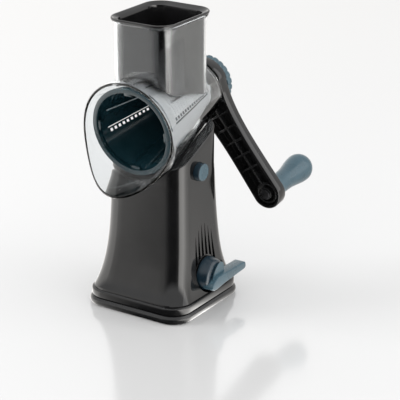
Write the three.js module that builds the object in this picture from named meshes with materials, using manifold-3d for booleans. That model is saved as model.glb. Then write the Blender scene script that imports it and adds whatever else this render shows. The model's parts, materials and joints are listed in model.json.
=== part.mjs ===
// A hand-cranked rotary cheese grater on a suction stand. Millimetres, +Z up.
// The origin is on the table, under the middle of the square foot.
// The drum's mouth faces -Y, the crank is at +Y, and the stand's lever and button are at +X.
import * as THREE from 'three';
import { mergeVertices } from 'three/addons/utils/BufferGeometryUtils.js';
import Module from 'manifold-3d';

const wasm = await Module();
wasm.setup();

// ---------------------------------------------------------------- driving dimensions
const GAP = 0.3; // between pieces that touch
const WALL = 2.8; // stand shell

const FOOT_HALF = 59; // half the foot's width at its widest
const FOOT_CORNER = 21;
const FOOT_WALL = 6;
const FOOT_HEIGHT = 8.6;
const PLINTH_TOP = 16.8;
const WAIST_HALF_X = 45; // tower half width at mid height
const WAIST_HALF_Y = 37.2;
const WAIST_CORNER = 18;
const TOWER_SHIFT = 1.4; // the tower's centre line lies a little behind the foot's

const MOUTH = new THREE.Vector3(0, -52, 189.3); // where the drum's axis crosses the mouth plane
const SADDLE_FRONT = new THREE.Vector3(0, -35, MOUTH.z - 37.9); // a point on the saddle's sloping rim
const SADDLE_TILT = THREE.MathUtils.degToRad(24.8);
const SADDLE_WALL = 3;
const SADDLE_PLAY = 0.6; // between the barrel and the saddle

const AXIS_TILT = THREE.MathUtils.degToRad(7.3); // the drum rises to the back
const BARREL_LENGTH = 115;
const BARREL_RADIUS = 52; // outside, at the mouth
const BARREL_REAR_RADIUS = 29.6;
const BARREL_WALL = 2.5;
const HOOD_TOP = 5.5; // how far the hood stands in front of the mouth plane, at its top
const HOOD_SPOUT = 35; // how much further its lip reaches at the bottom
const SPOUT_POWER = 9; // the higher, the narrower the spout

const HOPPER_HALF_X = 34.5;
const HOPPER_HALF_Y = 40;
const HOPPER_CORNER = 17.5;
const HOPPER_SHIFT = -1.4;
const HOPPER_TOP = 292;
const HOPPER_WALL = 2.5;
const HOPPER_LIP = 1.8;

const PUSHER_RIM = 2.7; // thickness of the rim that rests on the hopper
const PUSHER_PLAY = 0.8; // between the pusher and the hopper
const PUSHER_WALL = 2.2;
const PUSHER_OVERHANG_X = 1.7;
const PUSHER_OVERHANG_Y = 4.4;

const DRUM_PLAY = 4.6; // between the drum and the barrel
const DRUM_WALL = 2;
const DRUM_LENGTH = BARREL_LENGTH - 11;
const RING_DEPTH = 6;
const WINDOWS = 4;
const TEETH = 9; // slots along each grating plate
const PLATE_THICKNESS = 0.6;

const SPINDLE_RADIUS = 6.5; // journal
const SQUARE_DRIVE = 9;
const THREAD_RADIUS = 4;
const CRANK_START = BARREL_LENGTH + 4; // distance of the crank's inner face from the mouth plane
const CRANK_THICKNESS = 12.4;
const CRANK_HUB_RADIUS = 28.3;
const CRANK_END_RADIUS = 16;
const CRANK_THROW = 128; // drum axis to handle axis
const CRANK_ANGLE = THREE.MathUtils.degToRad(56); // below the horizontal at rest
const CRANK_FACE = 3; // the crank's outer plate
const RIB = 1.8;

const KNOB_RADIUS = 27.6;
const KNOB_THICKNESS = 8;
const KNOB_SCALLOPS = 24;

const HANDLE_LENGTH = 67;
const HANDLE_BALL = 14.8;
const HANDLE_NECK = 10.6;
const PIN_RADIUS = 3;

const SUCTION_Y = 2; // lever, cam and suction cup share this line
const LEVER_Z = 36;
const LEVER_HUB = 17.5;
const LEVER_REACH = 47; // hub centre to the bar's end
const CUP_RADIUS = FOOT_HALF - 13;
const CAM_THROW = 2;
const CAM_RADIUS = 8;
const CAM_PLAY = 0.6;
const STEM_RADIUS = 7.2;
const SHAFT_RADIUS = 4;

const BUTTON_RADIUS = 9;
const BUTTON_Y = -3;
const BUTTON_STANDOUT = 6; // from the tower's waist to the pressed face
const BUTTON_RISE = 6.6; // the button's middle above the latch
const LATCH_DROP = 14.6; // the latch below the barrel's underside
const TONGUE_HALF_X = 10;
const TONGUE_HALF_Y = 8;
const TONGUE_LEDGE = 2; // the tongue goes on this far below its notch

const SCREW_RADIUS = 1.5;
const SCREW_HEAD = 3.2;
const ROUND = 32; // facets round a large circle
const MIDDLE_ROUND = 20;
const SMALL_ROUND = 12;

// ---------------------------------------------------------------- geometry helpers
const vec = (x, y, z) => new THREE.Vector3(x, y, z);

function solid(geometry) {
  const bare = geometry.clone();
  for (const name of Object.keys(bare.attributes)) {
    if (name !== 'position') bare.deleteAttribute(name);
  }
  const merged = mergeVertices(bare, 1e-4);
  const triVerts = new Uint32Array(merged.index.array);
  const vertProperties = new Float32Array(merged.attributes.position.array);
  return new wasm.Manifold(new wasm.Mesh({ numProp: 3, vertProperties, triVerts }));
}

function geometryOf(body) {
  const mesh = body.getMesh();
  const geometry = new THREE.BufferGeometry();
  geometry.setAttribute('position', new THREE.BufferAttribute(new Float32Array(mesh.vertProperties), 3));
  geometry.setIndex(new THREE.BufferAttribute(new Uint32Array(mesh.triVerts), 1));
  geometry.computeVertexNormals();
  return geometry;
}

const join = (...bodies) => bodies.reduce((a, b) => a.add(b));
const cut = (body, ...tools) => tools.reduce((a, b) => a.subtract(b), body);

// A box from its lowest to its highest corner.
function block(low, high) {
  const size = high.clone().sub(low);
  const middle = high.clone().add(low).multiplyScalar(0.5);
  const box = new THREE.BoxGeometry(size.x, size.y, size.z);
  return solid(box.translate(middle.x, middle.y, middle.z));
}

// A solid of revolution about Z from [radius, height] pairs that run anticlockwise.
function turned(profile, segments = ROUND) {
  const points = profile.map(([r, z]) => new THREE.Vector2(r, z));
  return solid(new THREE.LatheGeometry(points, segments).rotateX(Math.PI / 2));
}

const rod = (radius, z0, z1, segments = SMALL_ROUND) =>
  turned([[0, z0], [radius, z0], [radius, z1], [0, z1]], segments);

const tube = (inner, outer, z0, z1, segments = SMALL_ROUND) =>
  turned([[inner, z0], [outer, z0], [outer, z1], [inner, z1], [inner, z0]], segments);

// Moves a body that was made along Z.
function placed(body, position, rotation = new THREE.Euler()) {
  const matrix = new THREE.Matrix4().makeRotationFromEuler(rotation).setPosition(position);
  return body.transform(matrix.elements);
}

const ALONG_X = new THREE.Euler(0, Math.PI / 2, 0); // +Z becomes +X
const UPRIGHT = new THREE.Euler(0, -Math.PI / 2, 0); // +X becomes +Z, and +Z becomes -X

// The points of a rounded rectangle.
function roundedRing(halfX, halfY, corner, z, shiftY, perCorner) {
  const points = [];
  const centres = [[1, 1], [-1, 1], [-1, -1], [1, -1]];
  centres.forEach(([sx, sy], quarter) => {
    for (let i = 0; i < perCorner; i += 1) {
      const angle = (quarter + i / (perCorner - 1)) * Math.PI / 2;
      points.push(vec(
        sx * (halfX - corner) + corner * Math.cos(angle),
        sy * (halfY - corner) + corner * Math.sin(angle) + shiftY,
        z,
      ));
    }
  });
  return points;
}

// A closed body through rings of equal count, from the lowest to the highest.
function loft(rings) {
  const count = rings[0].length;
  const positions = rings.flat().flatMap((p) => p.toArray());
  const index = [];
  for (let r = 0; r < rings.length - 1; r += 1) {
    for (let i = 0; i < count; i += 1) {
      const a = r * count + i;
      const b = r * count + (i + 1) % count;
      index.push(a, b, b + count, a, b + count, a + count);
    }
  }
  const last = (rings.length - 1) * count;
  for (let i = 1; i < count - 1; i += 1) {
    index.push(0, i + 1, i);
    index.push(last, last + i, last + i + 1);
  }
  return faceted(positions, index);
}

function faceted(positions, index) {
  const geometry = new THREE.BufferGeometry();
  geometry.setAttribute('position', new THREE.Float32BufferAttribute(positions, 3));
  geometry.setIndex(index);
  return solid(geometry);
}

// Rounded-rectangle loft from rows of [z, halfX, halfY, corner, shiftY].
const stack = (rows, perCorner = 4) => loft(rows.map(([z, halfX, halfY, corner, shiftY = 0]) =>
  roundedRing(halfX, halfY, corner, z, shiftY, perCorner)));

// An outline in the XY plane, pulled up from z0 to z1.
function pulled(shape, z0, z1, curveSegments = 8) {
  const geometry = new THREE.ExtrudeGeometry(shape, { depth: z1 - z0, bevelEnabled: false, curveSegments });
  return solid(geometry.translate(0, 0, z0));
}

function polygon(points) {
  return new THREE.Shape(points.map(([x, y]) => new THREE.Vector2(x, y)));
}

const everyTurn = (count, make) => Array.from({ length: count }, (_, i) => make(2 * Math.PI * i / count, i));

// ---------------------------------------------------------------- the tilted drum frame
// Local +Z runs back along the drum's axis, local +X is the part's +X, local +Y points down.
const tilted = new THREE.Group();
tilted.position.copy(MOUTH);
tilted.rotation.x = AXIS_TILT - Math.PI / 2;
tilted.updateMatrixWorld(true);

const toWorld = (body) => body.transform(tilted.matrixWorld.elements);

const TAPER = (BARREL_RADIUS - BARREL_REAR_RADIUS) / BARREL_LENGTH;
const barrelRadius = (s) => BARREL_RADIUS - TAPER * s;
const drumRadius = (s) => barrelRadius(s) - BARREL_WALL - DRUM_PLAY;

// Height of the barrel's underside over the line y = constant.
function barrelUnderside(y) {
  const back = y - MOUTH.y;
  const along = back * Math.cos(AXIS_TILT) - BARREL_RADIUS * Math.sin(AXIS_TILT);
  return MOUTH.z + back * Math.tan(AXIS_TILT) - barrelRadius(along) / Math.cos(AXIS_TILT);
}

// The cone that lies `offset` outside the barrel's skin, between two distances from the mouth.
const cone = (offset, s0, s1) =>
  turned([[0, s0], [barrelRadius(s0) + offset, s0], [barrelRadius(s1) + offset, s1], [0, s1]]);

// ---------------------------------------------------------------- materials
const paint = (color, roughness, metalness = 0) =>
  new THREE.MeshStandardMaterial({ color, roughness, metalness });
const gloss = paint(0x17181a, 0.22);
const dark = paint(0x24262a, 0.55);
const accent = paint(0x4f7488, 0.38);
const drumTeal = paint(0x1f3a44, 0.32);
const clear = paint(0xc9d0d2, 0.06);
const rubber = paint(0x1c1c1d, 0.85);
const steel = paint(0xb6babd, 0.3, 1);
const brass = paint(0xb08d4a, 0.35, 1);

const part = new THREE.Group();

function piece(name, body, material, parent = part) {
  const mesh = new THREE.Mesh(geometryOf(body), material);
  mesh.name = name;
  parent.add(mesh);
}

// A pan-head screw standing on z = 0, head below, shank up.
function screw(length) {
  const head = 2;
  return turned([[0, -head], [SCREW_HEAD * 0.8, -head], [SCREW_HEAD, -head * 0.5], [SCREW_HEAD, 0],
    [SCREW_RADIUS, 0], [SCREW_RADIUS, length], [0, length]], 8);
}

const screwHole = (z0, z1) => rod(SCREW_RADIUS + GAP, z0, z1, 8);

// ---------------------------------------------------------------- stand: outline of the tower
const PLINTH_HALF = FOOT_HALF - 1.4;
const PLINTH_START = FOOT_HEIGHT + 0.7;
const TOWER_REACH = MOUTH.z + 6; // height of the uncut tower

// By height, the share of the way from the waist's width to the plinth's that the tower has.
const flare = [
  [PLINTH_TOP + 1, 0.87],
  [23, 0.72],
  [31, 0.58],
  [44, 0.42],
  [60, 0.26],
  [80, 0.13],
  [110, 0.01],
  [TOWER_REACH, -0.12],
];

function towerRows(inset) {
  const shiftedBy = 70; // the height where the whole shift is reached
  return flare.map(([z, share]) => [
    z,
    THREE.MathUtils.lerp(WAIST_HALF_X, PLINTH_HALF, share) - inset,
    THREE.MathUtils.lerp(WAIST_HALF_Y, PLINTH_HALF, share) - inset,
    WAIST_CORNER + 2.5 * share - inset,
    TOWER_SHIFT * Math.min(1, (z - PLINTH_TOP) / (shiftedBy - PLINTH_TOP)),
  ]);
}

// Everything below the sloping rim plane, lowered by `drop`.
function belowSaddle(drop) {
  const slab = block(vec(-90, -160, -320), vec(90, 160, 0));
  const turn = new THREE.Euler(SADDLE_TILT, 0, 0);
  return placed(slab, SADDLE_FRONT.clone().add(vec(0, 0, -drop)), turn);
}

const towerOuter = cut(
  stack([
    [PLINTH_START, PLINTH_HALF - 0.8, PLINTH_HALF - 0.8, FOOT_CORNER],
    [PLINTH_START + 1.2, PLINTH_HALF, PLINTH_HALF, FOOT_CORNER],
    [PLINTH_TOP - 1.2, PLINTH_HALF, PLINTH_HALF, FOOT_CORNER],
    [PLINTH_TOP, PLINTH_HALF - 1, PLINTH_HALF - 1, FOOT_CORNER],
    [PLINTH_TOP + 0.2, PLINTH_HALF - 2.6, PLINTH_HALF - 2.6, WAIST_CORNER + 1.4],
    ...towerRows(0),
  ]).intersect(belowSaddle(0)),
  toWorld(cone(SADDLE_PLAY, -60, BARREL_LENGTH + 20)),
);

const towerInner = cut(
  stack([
    [PLINTH_START - 1, PLINTH_HALF - WALL, PLINTH_HALF - WALL, FOOT_CORNER - WALL],
    [PLINTH_TOP - 1, PLINTH_HALF - WALL, PLINTH_HALF - WALL, FOOT_CORNER - WALL],
    ...towerRows(WALL),
  ], 3).intersect(belowSaddle(SADDLE_WALL + 0.6)),
  toWorld(cone(SADDLE_PLAY + SADDLE_WALL, -60, BARREL_LENGTH + 20)),
);

const LEVER_FACE = WAIST_HALF_X + 4; // floor of the round recess behind the lever
const leverLine = (z0, z1, make) => placed(make(z0, z1), vec(0, SUCTION_Y, LEVER_Z), ALONG_X);
const SPIGOT_RADIUS = SHAFT_RADIUS + 4;
const BUSH_RADIUS = SPIGOT_RADIUS + 2.2;

const BASE_SCREW = FOOT_HALF - 21; // base screws stand at the corners of a square of this half width
const quarters = [[1, 1], [-1, 1], [-1, -1], [1, -1]];
const baseScrewPlaces = quarters.map(([x, y]) => vec(x * BASE_SCREW, y * BASE_SCREW, 0));
const PLATE_BOTTOM = FOOT_HEIGHT + 0.8;
const PLATE_TOP = PLATE_BOTTOM + 2.6;
const CATCH_Z = barrelUnderside(BUTTON_Y) - LATCH_DROP;
const BUTTON_PLACE = vec(WAIST_HALF_X + BUTTON_STANDOUT, BUTTON_Y, CATCH_Z + BUTTON_RISE); // the pressed face
const SLIDE_FRONT = WAIST_HALF_X - 9; // x where the button meets the latch's slide
const GUIDE_FRONT = SLIDE_FRONT - 8;
const GUIDE_SPREAD = 18;
const guideScrewPlaces = [-1, 1].map((side) =>
  vec(GUIDE_FRONT - 6, BUTTON_Y + side * GUIDE_SPREAD, CATCH_Z + 3.2));
const BOSS_RADIUS = 4.4; // of the bosses that the screws go up into
const BASE_SCREW_LENGTH = 11;
const SHORT_SCREW = 6;

function standShell() {
  const pillarTop = 62; // the pillars run up into the tower's corners
  const pillars = baseScrewPlaces.map((p) => placed(rod(BOSS_RADIUS, PLATE_TOP + GAP, pillarTop), p));
  const bosses = guideScrewPlaces.map((p) => placed(rod(BOSS_RADIUS, 0, 30), p));
  const pad = leverLine(LEVER_FACE - WALL - 1.6, LEVER_FACE + 3, (a, b) => rod(LEVER_HUB + 5, a, b, ROUND));
  const inside = join(...pillars, ...bosses, pad).intersect(towerOuter);
  const shell = join(cut(towerOuter, towerInner), inside);
  const holes = [
    ...baseScrewPlaces.map((p) => placed(screwHole(0, PLATE_TOP + BASE_SCREW_LENGTH), p)),
    ...guideScrewPlaces.map((p) => placed(screwHole(-1, SHORT_SCREW + 1), p)),
    leverLine(LEVER_FACE, LEVER_FACE + 20, (a, b) => rod(LEVER_HUB + 1.4, a, b, ROUND)),
    leverLine(LEVER_FACE - 20, LEVER_FACE + 20, (a, b) => rod(BUSH_RADIUS + GAP, a, b, MIDDLE_ROUND)),
    placed(rod(BUTTON_RADIUS + 0.4, -15, 20, MIDDLE_ROUND), BUTTON_PLACE, ALONG_X),
    tongueSlot(),
    ...flutes(),
  ];
  return cut(shell, ...holes);
}

// The opening in the saddle through which the housing's tongue comes down.
function tongueSlot() {
  const halfX = TONGUE_HALF_X + SADDLE_PLAY;
  const halfY = TONGUE_HALF_Y + SADDLE_PLAY;
  return block(vec(-halfX, BUTTON_Y - halfY, CATCH_Z), vec(halfX, BUTTON_Y + halfY, MOUTH.z));
}

// Pointed slots that fan up the side above the lever.
function flutes() {
  const count = 6;
  const pitch = (LEVER_HUB * 2 - 1) / (count - 1);
  const depth = 20;
  return Array.from({ length: count }, (_, i) => {
    const across = (i - (count - 1) / 2) * pitch;
    const foot = Math.sqrt((LEVER_HUB + 3.4) ** 2 - across ** 2);
    const tip = LEVER_HUB + 28.5 - Math.abs(across) * 0.75;
    const tipAcross = across * 0.88;
    const outline = polygon([
      [foot, across - 1.5], [foot, across + 1.5], [tip, tipAcross + 0.3], [tip, tipAcross - 0.3],
    ]);
    return placed(pulled(outline, 0, depth), vec(LEVER_FACE + 8, SUCTION_Y, LEVER_Z), UPRIGHT);
  });
}

piece('stand_shell', standShell(), gloss);

// ---------------------------------------------------------------- stand: foot, plate and suction cup
function footRing() {
  const outer = stack([
    [0, FOOT_HALF - 1.8, FOOT_HALF - 1.8, FOOT_CORNER],
    [2.4, FOOT_HALF, FOOT_HALF, FOOT_CORNER],
    [FOOT_HEIGHT - 2.4, FOOT_HALF, FOOT_HALF, FOOT_CORNER],
    [FOOT_HEIGHT, FOOT_HALF - 2.2, FOOT_HALF - 2.2, FOOT_CORNER],
  ]);
  const open = FOOT_HALF - FOOT_WALL;
  const corner = FOOT_CORNER - FOOT_WALL;
  return cut(outer, stack([[-1, open, open, corner], [FOOT_HEIGHT + 1, open, open, corner]], 3));
}

const PLATE_HALF = PLINTH_HALF - WALL - GAP;
const GUIDE_TUBE = STEM_RADIUS + 0.4;
const GUIDE_TUBE_WALL = 2.4;
const GUIDE_TUBE_TOP = PLATE_TOP + 8;
const BRACKET_SCREW = 21;
const STRIP_THICKNESS = 2.4;
const PRESS_DEPTH = 2.4; // the ridge under the plate that bears on the cup's clamp ring
const bracketScrewPlaces = [-1, 1].map((side) => vec(side * BRACKET_SCREW, SUCTION_Y, 0));
const atSuction = (body) => placed(body, vec(0, SUCTION_Y, 0));

function basePlate() {
  const half = PLATE_HALF;
  const plate = stack([
    [PLATE_BOTTOM, half, half, FOOT_CORNER - WALL],
    [PLATE_TOP, half, half, FOOT_CORNER - WALL],
  ], 3);
  const guide = atSuction(rod(GUIDE_TUBE + GUIDE_TUBE_WALL, PLATE_BOTTOM, GUIDE_TUBE_TOP, MIDDLE_ROUND));
  const ridge = PLATE_BOTTOM - PRESS_DEPTH;
  const press = atSuction(tube(CUP_RADIUS - 6, CUP_RADIUS - 2, ridge, PLATE_BOTTOM + 1, 24));
  const holes = [
    atSuction(rod(GUIDE_TUBE, 0, 60, MIDDLE_ROUND)),
    ...[...baseScrewPlaces, ...bracketScrewPlaces].map((p) => placed(screwHole(0, 30), p)),
  ];
  return cut(join(plate, guide, press), ...holes);
}

const CUP_RIM = 4; // thickness of the cup's rim
const CUP_WEB = 3;
const CUP_BOSS = 6.2; // top of the boss under the stem

function suctionCup() {
  return atSuction(turned([
    [0, 0], [CUP_RADIUS + 2, 0], [CUP_RADIUS + 1, CUP_RIM], [CUP_RADIUS - 11, CUP_RIM],
    [CUP_RADIUS - 14, CUP_WEB], [STEM_RADIUS + 5, CUP_WEB], [STEM_RADIUS + 2, CUP_BOSS], [0, CUP_BOSS],
  ]));
}

const cupClampRing = () =>
  atSuction(tube(CUP_RADIUS - 9, CUP_RADIUS - 1, CUP_RIM + GAP, PLATE_BOTTOM - PRESS_DEPTH - GAP, 24));

piece('foot_ring', footRing(), dark);
piece('base_plate', basePlate(), dark);
piece('suction_cup', suctionCup(), rubber);
piece('cup_clamp_ring', cupClampRing(), dark);
baseScrewPlaces.forEach((p, i) =>
  piece(`base_screw_${i + 1}`, placed(screw(BASE_SCREW_LENGTH), p.clone().setZ(PLATE_BOTTOM - GAP)), steel));

// ---------------------------------------------------------------- suction lever, cam and stem
const HUB_START = LEVER_FACE + 0.6;
const HUB_DEPTH = 12.4;
const BAR_DEPTH = 12;
const BAR_START = HUB_START + HUB_DEPTH - 6.2; // clear of the flared foot as it turns
const CAM_HALF = 4;
const YOKE_HALF_X = 5;
const YOKE_WALL = 3.4;
const WINDOW_HALF_Y = CAM_RADIUS + CAM_THROW + CAM_PLAY;
const WINDOW_HALF_Z = CAM_RADIUS + CAM_PLAY;
const CAM_Z = LEVER_Z - CAM_THROW; // the cam's middle at rest
const BRACKET_HALF = YOKE_HALF_X + 3; // inner face of each bearing wall
const BRACKET_WALL = 3;
const SHAFT_END = LEVER_FACE + 8;

function suctionLever() {
  const hub = leverLine(HUB_START, HUB_START + HUB_DEPTH, (a, b) => turned([
    [0, a], [LEVER_HUB, a], [LEVER_HUB - 0.4, a + 3], [LEVER_HUB - 2.4, b - 1.4], [LEVER_HUB - 4, b], [0, b],
  ], 28));
  const spigotStart = LEVER_FACE - WALL - 2;
  const spigot = leverLine(spigotStart, HUB_START + 1, (a, b) => rod(SPIGOT_RADIUS, a, b, MIDDLE_ROUND));
  const outline = new THREE.Shape();
  const reach = LEVER_REACH;
  outline.moveTo(0, reach);
  outline.lineTo(0.8, 2);
  outline.quadraticCurveTo(0.6, -6, -4, -14.6);
  outline.quadraticCurveTo(-8.6, -16.8, -11.6, -12.4);
  outline.quadraticCurveTo(-11.6, -4, -9.8, 6);
  outline.lineTo(-7.6, reach);
  const barPlace = vec(BAR_START + BAR_DEPTH, SUCTION_Y, LEVER_Z);
  const bar = placed(pulled(outline, 0, BAR_DEPTH, 4), barPlace, UPRIGHT);
  const bore = leverLine(0, SHAFT_END + GAP, (a, b) => rod(SHAFT_RADIUS + GAP, a, b));
  return cut(join(hub, spigot, bar), bore);
}

function camShaft() {
  const shaft = leverLine(-BRACKET_HALF - BRACKET_WALL - 3, SHAFT_END, (a, b) => rod(SHAFT_RADIUS, a, b));
  const cam = placed(rod(CAM_RADIUS, -CAM_HALF, CAM_HALF, 28), vec(0, SUCTION_Y, CAM_Z), ALONG_X);
  return join(shaft, cam);
}

function pullStem() {
  const bottom = CAM_Z - WINDOW_HALF_Z - YOKE_WALL;
  const halfY = WINDOW_HALF_Y + YOKE_WALL;
  const stem = atSuction(rod(STEM_RADIUS, CUP_BOSS + GAP, bottom + 1, MIDDLE_ROUND));
  const yoke = block(
    vec(-YOKE_HALF_X, SUCTION_Y - halfY, bottom),
    vec(YOKE_HALF_X, SUCTION_Y + halfY, CAM_Z + WINDOW_HALF_Z + YOKE_WALL),
  );
  const window = block(
    vec(-YOKE_HALF_X - 1, SUCTION_Y - WINDOW_HALF_Y, CAM_Z - WINDOW_HALF_Z),
    vec(YOKE_HALF_X + 1, SUCTION_Y + WINDOW_HALF_Y, CAM_Z + WINDOW_HALF_Z),
  );
  return cut(join(stem, yoke), window);
}

function camBracket() {
  const low = PLATE_TOP + GAP;
  const halfX = BRACKET_SCREW + 5;
  const halfY = 14;
  const outer = BRACKET_HALF + BRACKET_WALL;
  const strip = block(
    vec(-halfX, SUCTION_Y - halfY, low),
    vec(halfX, SUCTION_Y + halfY, low + STRIP_THICKNESS),
  );
  const walls = [-1, 1].map((side) => block(
    vec(Math.min(side * BRACKET_HALF, side * outer), SUCTION_Y - halfY, low),
    vec(Math.max(side * BRACKET_HALF, side * outer), SUCTION_Y + halfY, LEVER_Z + SHAFT_RADIUS + 4),
  ));
  const holes = [
    atSuction(rod(GUIDE_TUBE + GUIDE_TUBE_WALL + 2 * GAP, 0, GUIDE_TUBE_TOP + GAP, MIDDLE_ROUND)),
    leverLine(-outer - 2, outer + 2, (a, b) => rod(SHAFT_RADIUS + GAP, a, b)),
    ...bracketScrewPlaces.map((p) => placed(screwHole(0, 60), p)),
  ];
  return cut(join(strip, ...walls), ...holes);
}

const leverBush = () => leverLine(LEVER_FACE - WALL - 1.4, LEVER_FACE - 0.2, (a, b) =>
  tube(SPIGOT_RADIUS + GAP, BUSH_RADIUS, a, b, MIDDLE_ROUND));

piece('suction_lever', suctionLever(), accent);
piece('cam_shaft', camShaft(), steel);
piece('pull_stem', pullStem(), dark);
piece('cam_bracket', camBracket(), dark);
piece('lever_bush', leverBush(), dark);
bracketScrewPlaces.forEach((p, i) => {
  const top = PLATE_TOP + GAP + STRIP_THICKNESS + GAP;
  const down = new THREE.Euler(Math.PI, 0, 0);
  piece(`bracket_screw_${i + 1}`, placed(screw(SHORT_SCREW), p.clone().setZ(top), down), steel);
});

// ---------------------------------------------------------------- release button and latch
const RAIL_INNER = TONGUE_HALF_Y + 1;
const RAIL_OUTER = RAIL_INNER + 3;
const SLIDE_LOW = CATCH_Z - 2.2;
const SLIDE_HIGH = CATCH_Z + 2.3;
const SLIDE_BACK = -TONGUE_HALF_X - 9;
const CATCH_TIP = -TONGUE_HALF_X - SADDLE_PLAY; // drawn back, so that the tongue can rise
const NOTCH_DEPTH = 3;
const CATCH_WIDTH = 8;
const SPRING_SEAT = 14;
const COIL_RADIUS = 2.6;
const COIL_WIRE = 0.45;
const TAB_THICKNESS = 2.4;
const atButtonY = (y) => BUTTON_Y + y;

function bothSides(x0, x1, y0, y1, z0, z1) {
  return join(
    block(vec(x0, atButtonY(y0), z0), vec(x1, atButtonY(y1), z1)),
    block(vec(x0, atButtonY(-y1), z0), vec(x1, atButtonY(-y0), z1)),
  );
}

function latchSlide() {
  const rails = bothSides(SLIDE_BACK, SLIDE_FRONT, RAIL_INNER, RAIL_OUTER, SLIDE_LOW, SLIDE_HIGH);
  const front = block(
    vec(SLIDE_FRONT - 6, atButtonY(-RAIL_OUTER), SLIDE_LOW),
    vec(SLIDE_FRONT, atButtonY(RAIL_OUTER), SLIDE_HIGH),
  );
  const back = block(
    vec(SLIDE_BACK, atButtonY(-RAIL_OUTER), SLIDE_LOW),
    vec(SLIDE_BACK + 5, atButtonY(RAIL_OUTER), SLIDE_HIGH),
  );
  // The catch has a ramp on top, which the tongue pushes aside on its way down.
  const nose = polygon([
    [SLIDE_LOW, SLIDE_BACK + 4], [SLIDE_LOW, CATCH_TIP], [SLIDE_LOW + 1.2, CATCH_TIP],
    [SLIDE_HIGH, SLIDE_BACK + 6], [SLIDE_HIGH, SLIDE_BACK + 4],
  ]);
  const onSide = new THREE.Matrix4().makeBasis(vec(0, 0, 1), vec(1, 0, 0), vec(0, 1, 0));
  onSide.setPosition(0, BUTTON_Y, 0);
  const catchBody = pulled(nose, -CATCH_WIDTH / 2, CATCH_WIDTH / 2).transform(onSide.elements);
  return join(rails, front, back, catchBody);
}

function latchGuide() {
  const low = SLIDE_LOW - 2.6;
  const high = SLIDE_HIGH;
  const wall = 2;
  const back = SLIDE_BACK - 3;
  const inner = RAIL_OUTER + GAP;
  const outer = inner + wall;
  const floorTop = SLIDE_LOW - GAP;
  const sides = bothSides(back, GUIDE_FRONT, inner, outer, low, high);
  const lips = bothSides(back, GUIDE_FRONT, RAIL_INNER, outer, low, floorTop);
  const seatBack = SPRING_SEAT - wall;
  const tie = block(vec(seatBack, atButtonY(-outer), low), vec(SPRING_SEAT, atButtonY(outer), floorTop));
  const seat = block(vec(seatBack, atButtonY(-4), low), vec(SPRING_SEAT, atButtonY(4), high));
  const screwX = guideScrewPlaces[0].x;
  const tabHigh = guideScrewPlaces[0].z - GAP;
  const tabs = bothSides(screwX - 5, screwX + 5, inner, GUIDE_SPREAD + 4, tabHigh - TAB_THICKNESS, tabHigh);
  const holes = guideScrewPlaces.map((p) => placed(screwHole(-9, 4), p));
  return cut(join(sides, lips, tie, seat, tabs), ...holes);
}

function releaseButton() {
  const back = SLIDE_FRONT + GAP;
  const face = BUTTON_PLACE.x;
  const cap = placed(turned([
    [0, back - face], [4, back - face], [4, -12], [BUTTON_RADIUS, -12],
    [BUTTON_RADIUS, -1], [BUTTON_RADIUS - 1, 0], [0, 0],
  ], 28), BUTTON_PLACE, ALONG_X);
  const foot = block(vec(back, atButtonY(-4), SLIDE_LOW), vec(back + 3.4, atButtonY(4), BUTTON_PLACE.z + 2));
  return join(cap, foot);
}

// A wire wound along +X between two places.
function coil(x0, x1, turns) {
  const steps = turns * 9;
  const points = Array.from({ length: steps + 1 }, (_, i) => {
    const angle = 2 * Math.PI * turns * i / steps;
    return vec(
      THREE.MathUtils.lerp(x0 + COIL_WIRE, x1 - COIL_WIRE, i / steps),
      BUTTON_Y + COIL_RADIUS * Math.cos(angle),
      CATCH_Z + COIL_RADIUS * Math.sin(angle),
    );
  });
  const section = new THREE.Shape();
  section.absarc(0, 0, COIL_WIRE, 0, 2 * Math.PI);
  return solid(new THREE.ExtrudeGeometry(section, {
    steps,
    curveSegments: 2,
    extrudePath: new THREE.CatmullRomCurve3(points),
  }));
}

piece('release_button', releaseButton(), accent);
piece('latch_slide', latchSlide(), dark);
piece('latch_guide', latchGuide(), dark);
piece('button_spring', coil(SPRING_SEAT + GAP, SLIDE_FRONT - 6 - GAP, 4), steel);
guideScrewPlaces.forEach((p, i) => {
  const under = p.clone().setZ(p.z - GAP - TAB_THICKNESS - GAP);
  piece(`guide_screw_${i + 1}`, placed(screw(SHORT_SCREW), under), steel);
});

// ---------------------------------------------------------------- housing: barrel, hood, hopper and tongue
const HOPPER_INNER_X = HOPPER_HALF_X - HOPPER_WALL;
const HOPPER_INNER_Y = HOPPER_HALF_Y - HOPPER_WALL;
const REAR_WALL = 3;
const BUSH_HOLE = SPINDLE_RADIUS + 2.8;

// The barrel's wall, with the hood that carries it on past the mouth plane and reaches forward as a spout.
function barrelWall() {
  const end = BARREL_LENGTH;
  const rearInside = end - REAR_WALL;
  const inner = BARREL_RADIUS - BARREL_WALL;
  const hole = BUSH_HOLE + GAP;
  const section = (lip) => [
    [BARREL_RADIUS, lip], [BARREL_RADIUS, 0], [BARREL_REAR_RADIUS, end], [hole, end],
    [hole, rearInside], [barrelRadius(rearInside) - BARREL_WALL, rearInside], [inner, 0], [inner, lip],
  ];
  const loop = section(0).length;
  const positions = [];
  const index = [];
  for (let i = 0; i < ROUND; i += 1) {
    const angle = 2 * Math.PI * i / ROUND; // from straight down
    const spout = Math.abs(Math.cos(angle / 2)) ** SPOUT_POWER;
    section(-HOOD_TOP - HOOD_SPOUT * spout).forEach(([radius, z]) => {
      positions.push(radius * Math.sin(angle), radius * Math.cos(angle), z);
    });
    const here = i * loop;
    const next = (i + 1) % ROUND * loop;
    for (let k = 0; k < loop; k += 1) {
      const far = (k + 1) % loop;
      index.push(here + k, here + far, next + far, here + k, next + far, next + k);
    }
  }
  return toWorld(faceted(positions, index));
}

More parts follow.
